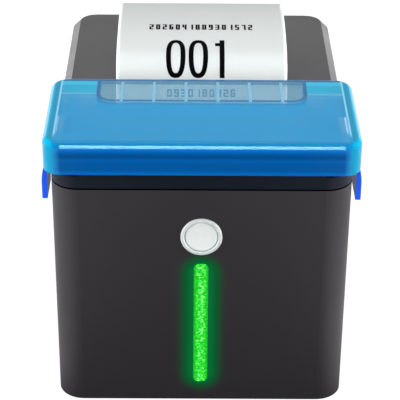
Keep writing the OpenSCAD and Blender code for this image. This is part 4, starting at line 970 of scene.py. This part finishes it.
class PRINTER_OT_stage(bpy.types.Operator):
    """Set the camera, the lamps, the surroundings and the floor"""

    bl_idname = "printer.stage"
    bl_label = "Set the stage"

    def execute(self, context):
        scene = context.scene
        setup = scene.printer_stage
        lens = bpy.data.cameras.new("camera")
        lens.lens = setup.lens
        lens.sensor_width = SENSOR
        eye = bpy.data.objects.new("camera", lens)
        scene.collection.objects.link(eye)
        ahead = Vector((
            math.sin(setup.yaw) * math.cos(setup.pitch), math.cos(setup.yaw) * math.cos(setup.pitch),
            -math.sin(setup.pitch)
        ))
        right = Vector((math.cos(setup.yaw), -math.sin(setup.yaw), 0))
        up = right.cross(ahead)
        side = right * math.cos(setup.roll) + up * math.sin(setup.roll)
        over = up * math.cos(setup.roll) - right * math.sin(setup.roll)
        turn = Matrix((side, over, -ahead)).transposed().to_4x4()
        eye.matrix_world = Matrix.Translation(Vector(setup.target) - ahead * setup.distance) @ turn
        lens.clip_start = 0.01
        lens.clip_end = 100
        scene.camera = eye
        scene.view_settings.view_transform = "Standard"

        # Softboxes: a tall one ahead for matt light, a strip that only the hood mirrors, one overhead, one low
        # at each side that gloss doesn't mirror, and one low behind each bevel of the lid.
        # For each: its place, size and watts, whether it lights matt surfaces, whether it is mirrored, and the
        # nodes that it shines on, if not on all
        lamps = [
            ("tall box", (0, -1.02, 0.88), (0.38, 0.6), 6.8, True, False, ()),
            ("strip box", (0, -1.1, 0.45), (0.42, 1.1), 26.0, False, True, ("splash_hood",)),
            ("overhead box", (0, 0.5, 1.2), (0.9, 0.5), 1.4, True, True, ()),
            ("left box", (-1.0, -0.2, 0.22), (0.8, 0.5), 21.0, True, False, ()),
            ("right box", (1.0, -0.2, 0.22), (0.8, 0.5), 21.0, True, False, ()),
            ("left rear box", (-0.8, 1.3, 0.15), (0.6, 0.6), 1.8, True, True, ()),
            ("right rear box", (0.8, 1.3, 0.15), (0.6, 0.6), 1.45, True, True, ()),
        ]
        aim = Vector((0, 0, 0.08))
        for name, place, size, watts, matt, mirrored, only in lamps:
            lamp = bpy.data.lights.new(name, "AREA")
            lamp.shape = "RECTANGLE"
            lamp.size, lamp.size_y = size
            lamp.energy = watts
            holder = bpy.data.objects.new(name, lamp)
            scene.collection.objects.link(holder)
            holder.location = place
            holder.visible_diffuse = matt
            holder.visible_glossy = mirrored
            if only:
                shone_on = bpy.data.collections.new(name)
                for key in only:
                    shone_on.objects.link(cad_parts[key])
                holder.light_linking.receiver_collection = shone_on
            holder.rotation_euler = (aim - Vector(place)).to_track_quat("-Z", "Y").to_euler()

        # White surroundings where they are seen or shine through, white in gloss except where the room ahead of
        # the front is dim, and a grey level of fill
        world = bpy.data.worlds.new("surroundings")
        world.use_nodes = True
        tree = world.node_tree
        tree.nodes.clear()
        ray = node(tree, "ShaderNodeLightPath")
        sight = node(tree, "ShaderNodeTexCoord")
        heading = node(tree, "ShaderNodeSeparateXYZ", {0: sight.outputs["Generated"]})
        room = node(tree, "ShaderNodeMapRange", {
            "Value": heading.outputs["Y"], "From Min": -0.75, "From Max": 0.1,
            "To Min": setup.dim_room, "To Max": 1.0
        }, interpolation_type="SMOOTHSTEP")
        gloss = node(tree, "ShaderNodeMath", {
            0: ray.outputs["Is Glossy Ray"], 1: room.outputs[0]
        }, operation="MULTIPLY")
        fill = node(tree, "ShaderNodeMath", {
            0: ray.outputs["Is Glossy Ray"], 1: -setup.surround, 2: setup.surround
        }, operation="MULTIPLY_ADD")
        seen = node(tree, "ShaderNodeMath", {
            0: ray.outputs["Is Camera Ray"], 1: ray.outputs["Is Transmission Ray"]
        }, operation="MAXIMUM")
        lit = node(tree, "ShaderNodeMath", {0: gloss.outputs[0], 1: fill.outputs[0]}, operation="MAXIMUM")
        level = node(tree, "ShaderNodeMath", {0: seen.outputs[0], 1: lit.outputs[0]}, operation="MAXIMUM")
        sky = node(tree, "ShaderNodeBackground", {"Strength": level.outputs[0]})
        node(tree, "ShaderNodeOutputWorld", {0: sky.outputs[0]})
        scene.world = world

        far = 30.0
        mesh = bpy.data.meshes.new("floor")
        corners = [(-far, -far, 0), (far, -far, 0), (far, far, 0), (-far, far, 0)]
        mesh.from_pydata(corners, [], [(0, 1, 2, 3)])
        floor = bpy.data.objects.new("floor", mesh)
        scene.collection.objects.link(floor)
        made, tree, shader, place = begin("Studio paper, pale")
        ray = node(tree, "ShaderNodeLightPath")
        seen = node(tree, "ShaderNodeMath", {
            0: ray.outputs["Is Camera Ray"], 1: ray.outputs["Is Transmission Ray"]
        }, operation="MAXIMUM")
        # Gloss sees it white at the sides and behind, and a dark card ahead of the front.
        axis = node(tree, "ShaderNodeSeparateXYZ", {0: place})
        width = node(tree, "ShaderNodeMath", {0: axis.outputs["X"]}, operation="ABSOLUTE")
        beside = node(tree, "ShaderNodeMapRange", {
            "Value": width.outputs[0], "From Min": 0.065, "From Max": 0.1
        })
        behind = node(tree, "ShaderNodeMath", {0: axis.outputs["Y"], 1: 0.0}, operation="GREATER_THAN")
        clear = node(tree, "ShaderNodeMath", {0: beside.outputs[0], 1: behind.outputs[0]}, operation="MAXIMUM")
        gloss = node(tree, "ShaderNodeMath", {
            0: ray.outputs["Is Glossy Ray"], 1: clear.outputs[0]
        }, operation="MULTIPLY")
        white = node(tree, "ShaderNodeMath", {0: seen.outputs[0], 1: gloss.outputs[0]}, operation="MAXIMUM")
        # Far from the object, where the lamps fade, it is lifted to the white of the surroundings.
        away = node(tree, "ShaderNodeVectorMath", {0: place}, operation="LENGTH")
        level = node(tree, "ShaderNodeMapRange", {
            "Value": away.outputs["Value"], "From Min": 0.25, "From Max": 0.9, "To Min": 0.88, "To Max": 1.0
        })
        lift = node(tree, "ShaderNodeMath", {0: white.outputs[0], 1: level.outputs[0]}, operation="MULTIPLY")
        # The white is in the emission, and the grey base still takes the object's shadow.
        feed(tree, shader, {
            "Base Color": (0.2, 0.2, 0.2, 1), "Roughness": 0.9, "Specular IOR Level": 0.1,
            "Emission Color": (1, 1, 1, 1), "Emission Strength": lift.outputs[0]
        })
        mesh.materials.append(made)
        return {"FINISHED"}


class PRINTER_PT_panel(bpy.types.Panel):
    """Lists the printer's finishes, its ticket and its stage"""

    bl_idname = "PRINTER_PT_panel"
    bl_label = "Ticket printer"
    bl_space_type = "VIEW_3D"
    bl_region_type = "UI"
    bl_category = "Ticket printer"

    def draw(self, context):
        for made in OPERATORS:
            self.layout.operator(made.bl_idname)
        scene = context.scene
        for group in (scene.printer_finish, scene.printer_ticket, scene.printer_stage):
            box = self.layout.box()
            for key in group.bl_rna.properties.keys():
                if key not in ("rna_type", "name"):
                    box.prop(group, key)


GROUPS = (PrinterFinish, TicketShape, StageSettings)
OPERATORS = (
    PRINTER_OT_mouldings, PRINTER_OT_hood, PRINTER_OT_controls, PRINTER_OT_mechanism, PRINTER_OT_electronics,
    PRINTER_OT_contacts, PRINTER_OT_switch_marks, PRINTER_OT_paper, PRINTER_OT_print, PRINTER_OT_stage,
)


def register():
    """Registers the classes and hangs their settings on the scene."""
    for made in GROUPS + OPERATORS + (PRINTER_PT_panel,):
        bpy.utils.register_class(made)
    bpy.types.Scene.printer_finish = bpy.props.PointerProperty(type=PrinterFinish)
    bpy.types.Scene.printer_ticket = bpy.props.PointerProperty(type=TicketShape)
    bpy.types.Scene.printer_stage = bpy.props.PointerProperty(type=StageSettings)


def unregister():
    """Takes the settings and the classes away again."""
    del bpy.types.Scene.printer_finish
    del bpy.types.Scene.printer_ticket
    del bpy.types.Scene.printer_stage
    for made in reversed(GROUPS + OPERATORS + (PRINTER_PT_panel,)):
        bpy.utils.unregister_class(made)


def main():
    """Builds the looks in order."""
    register()
    bpy.ops.printer.mouldings()
    bpy.ops.printer.hood()
    bpy.ops.printer.controls()
    bpy.ops.printer.mechanism()
    bpy.ops.printer.electronics()
    bpy.ops.printer.contacts()
    bpy.ops.printer.switch_marks()
    bpy.ops.printer.paper()
    bpy.ops.printer.marks()
    bpy.ops.printer.stage()


if __name__ == "__main__":
    main()
